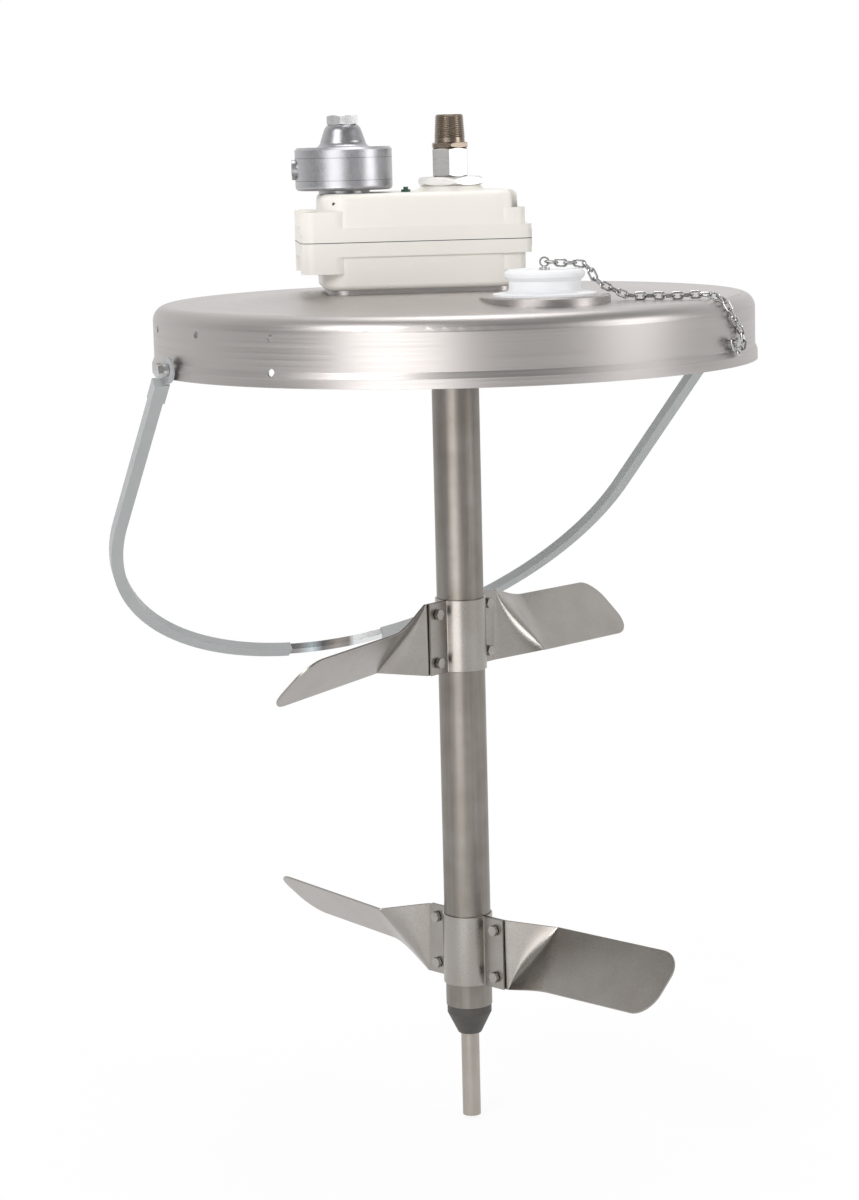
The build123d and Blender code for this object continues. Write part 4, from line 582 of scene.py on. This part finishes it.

# Motor seams: a thin dark ring at each joint between the cylinder and its end plates, painted
# shade for the shadow in the joint's groove. Its round section has its middle just under the
# surface.
seamValues = {
    "axis": (-0.107, 0.0), "radius": 0.0485, "half": 0.0003, "proud": 0.00008, "points": 8,
    "segments": 96,
}
levels = nodeCorners("motor_cylinder")[:, 2]
seamTurn = -circle(seamValues["points"])
seamMiddle = seamValues["radius"] + seamValues["proud"] - seamValues["half"]
for name, level in (("lower_seam", levels.min()), ("upper_seam", levels.max())):
    outline = np.stack([
        seamMiddle + np.cos(seamTurn) * seamValues["half"],
        level + np.sin(seamTurn) * seamValues["half"],
    ], -1)
    segments = seamValues["segments"]
    ring = turnedPiece(name, outline, seamValues["axis"], segments, paintedShadeMaterial, "frame")

# Pin hole: a dark disc of painted shade on the housing's front face, above its left lug, for the
# shadow inside the hole. Its loops lie behind the face, at the rim, at the edge of the flat front
# and round its middle.
holeValues = {
    "at": (-0.1216, 0.0982), "face": -0.059, "radius": 0.0016, "proud": 0.00006, "points": 24,
    "back": 0.0004, "flat": 0.9, "middle": 0.02,
}
holeTurn = circle(holeValues["points"])
proud = holeValues["proud"]
depths = np.array([holeValues["back"], -proud / 2, -proud, -proud])
widths = np.array([1.0, 1.0, holeValues["flat"], holeValues["middle"]]) * holeValues["radius"]
holeX = holeValues["at"][0] + widths[:, None] * np.cos(holeTurn)
holeZ = holeValues["at"][1] + widths[:, None] * np.sin(holeTurn)
holeY = np.broadcast_to(holeValues["face"] + depths[:, None], holeX.shape)
vertices, faces = gridMesh(np.stack([holeX, holeY, holeZ], -1))
first = np.arange(holeValues["points"])
discs = np.stack([first[::-1], first + (len(depths) - 1) * len(first)])
pin = makePiece("pin_hole", vertices, faces.tolist() + discs.tolist(), paintedShadeMaterial, "frame")

# Nipple thread: ridges on the cone of the nipple, from its top edge down to the hexagon. Its
# outline is a root and a crest in turn, half a pitch apart, closed by a line under the surface.
threadValues = {
    "baseRadius": 0.0152, "topRadius": 0.0134, "length": 0.0275, "pitch": 0.00181,
    "depth": 0.0006, "skin": 0.0004, "topMargin": 0.0012, "bottomMargin": 0.003, "segments": 72,
}
v = threadValues
nippleTop = nodeCorners("outlet_nipple")[:, 2].max()
turns = int((v["length"] - v["topMargin"] - v["bottomMargin"]) / v["pitch"])
down = v["topMargin"] + np.arange(2 * turns + 1) * v["pitch"] / 2
cone = v["topRadius"] + (v["baseRadius"] - v["topRadius"]) * down / v["length"]
crest = np.where(np.arange(len(down)) % 2, v["depth"], -v["skin"] / 4)
inner = np.array([[cone[-1] - v["skin"], down[-1]], [cone[0] - v["skin"], down[0]]])
outline = np.concatenate([np.stack([cone + crest, down], -1), inner])
outline[:, 1] = nippleTop - outline[:, 1]
steel = slotMaterials["nipple_steel"]
thread = turnedPiece("nipple_thread", outline, (0.0, 0.0), v["segments"], steel, "frame")
print("small pieces made")

# Floor: matt and pale. The camera sees it glow white, less so near the object's foot, where its
# shadow shows. Reflections see that too, with a darker strip between the object and the camera.
floorValues = {
    "half": 9.0, "drop": 0.004, "color": (0.9, 0.9, 0.9), "roughness": 0.9, "specular": 0.1,
    "share": 0.88, "fadeFrom": 0.5, "fadeTo": 1.6,
    "stripNear": -0.75, "stripFar": -2.7, "stripSoft": 0.12, "stripShare": 0.25,
}
v = floorValues
half = v["half"]
floorLevel = cadBox[0][2] - v["drop"]
floorPlan = [(-half, -half), (half, -half), (half, half), (-half, half)]
floorMesh = bpy.data.meshes.new("floor")
floorMesh.from_pydata([(x, y, floorLevel) for x, y in floorPlan], [], [(0, 1, 2, 3)])
floorMaterial = newMaterial(
    "paleFloor", v["color"], roughness=v["roughness"], specular=v["specular"]
)
tree = floorMaterial.node_tree
glow = addNode(tree, "Emission", {"Strength": 1.0, "Color": (1, 1, 1, 1)})
place = addNode(tree, "TexCoord").outputs["Object"]
away = addNode(tree, "VectorMath", {0: place}, operation="LENGTH").outputs["Value"]
fade = remap(tree, away, (v["fadeFrom"], v["fadeTo"]), (v["share"], 1.0), smooth=True)
placeY = addNode(tree, "SeparateXYZ", {0: place}).outputs["Y"]
nearEdge = (v["stripNear"] - v["stripSoft"], v["stripNear"] + v["stripSoft"])
farEdge = (v["stripFar"] - v["stripSoft"], v["stripFar"] + v["stripSoft"])
near = remap(tree, placeY, nearEdge, (0.0, 1.0), smooth=True)
far = remap(tree, placeY, farEdge, (1.0, v["stripShare"]), smooth=True)
path = addNode(tree, "LightPath").outputs
mirrored = combine(tree, "MULTIPLY", path["Is Glossy Ray"], combine(tree, "MAXIMUM", near, far))
seen = combine(tree, "MAXIMUM", path["Is Camera Ray"], mirrored)
matt = tree.nodes["Principled BSDF"].outputs[0]
weight = combine(tree, "MULTIPLY", seen, fade)
mixed = addNode(tree, "MixShader", {"Fac": weight, 1: matt, 2: glow.outputs[0]}).outputs[0]
tree.links.new(mixed, tree.nodes["Material Output"].inputs["Surface"])
floorMesh.materials.append(floorMaterial)
floor = bpy.data.objects.new("floor", floorMesh)
bpy.context.scene.collection.objects.link(floor)

# World: the white backdrop stands behind the object and the darker room behind the camera.
worldValues = {"room": 0.34, "backdrop": 1.0, "roomSide": -0.35, "backdropSide": 0.75}
v = worldValues
world = bpy.data.worlds.new("studio")
bpy.context.scene.world = world
world.use_nodes = True
tree = world.node_tree
ground = tree.nodes["Background"]
ground.inputs["Color"].default_value = (1, 1, 1, 1)
way = addNode(tree, "TexCoord").outputs["Generated"]
wayY = addNode(tree, "SeparateXYZ", {0: way}).outputs["Y"]
sides = (v["roomSide"], v["backdropSide"])
lit = remap(tree, wayY, sides, (v["room"], v["backdrop"]), smooth=True)
path = addNode(tree, "LightPath").outputs
seen = combine(tree, "MAXIMUM", path["Is Camera Ray"], path["Is Transmission Ray"])
strength = addNode(tree, "Mix", {"Factor": seen, "A": lit, "B": 1.0}).outputs["Result"]
tree.links.new(strength, ground.inputs["Strength"])
print("floor and world ready")

# Lamps: soft squares, all turned to one point on the shaft.
lampTarget = (0, 0, -0.35)
lampValues = [
    {"name": "keyLamp", "at": (-2.2, -2.6, 1.9), "size": 1.8, "power": 66},
    {"name": "sideLamp", "at": (2.6, -1.4, 0.6), "size": 1.4, "power": 26},
    {"name": "topLamp", "at": (0.2, 0.6, 2.8), "size": 1.6, "power": 30},
    {"name": "frontLamp", "at": (-0.96, -1.98, -0.43), "size": 1.5, "power": 18},
]
for lamp in lampValues:
    light = bpy.data.lights.new(lamp["name"], "AREA")
    light.size = lamp["size"]
    light.energy = lamp["power"]
    holder = bpy.data.objects.new(lamp["name"], light)
    bpy.context.scene.collection.objects.link(holder)
    holder.location = lamp["at"]
    toward = Vector(lampTarget) - Vector(lamp["at"])
    holder.rotation_euler = toward.to_track_quat("-Z", "Y").to_euler()
print("lights ready")

# Camera: where it stands, the way it looks and its own right, which tilts it about that way.
cameraValues = {
    "at": (-0.29303, -2.87226, 0.1626), "forward": (0.0894515, 0.9829063, -0.1609148),
    "right": (0.9952171, -0.0945760, -0.0244582), "lens": 57.0, "height": 24.0, "clipEnd": 50,
}
cameraData = bpy.data.cameras.new("camera")
cameraData.sensor_fit = "VERTICAL"
cameraData.sensor_height = cameraValues["height"]
cameraData.lens = cameraValues["lens"]
cameraData.clip_end = cameraValues["clipEnd"]
camera = bpy.data.objects.new("camera", cameraData)
bpy.context.scene.collection.objects.link(camera)
back = -Vector(cameraValues["forward"]).normalized()
right = Vector(cameraValues["right"]).normalized()
turnMatrix = Matrix((right, back.cross(right), back)).transposed().to_4x4()
camera.matrix_world = Matrix.Translation(cameraValues["at"]) @ turnMatrix
bpy.context.scene.camera = camera
bpy.context.scene.view_settings.view_transform = "Standard"

print("scene ready")
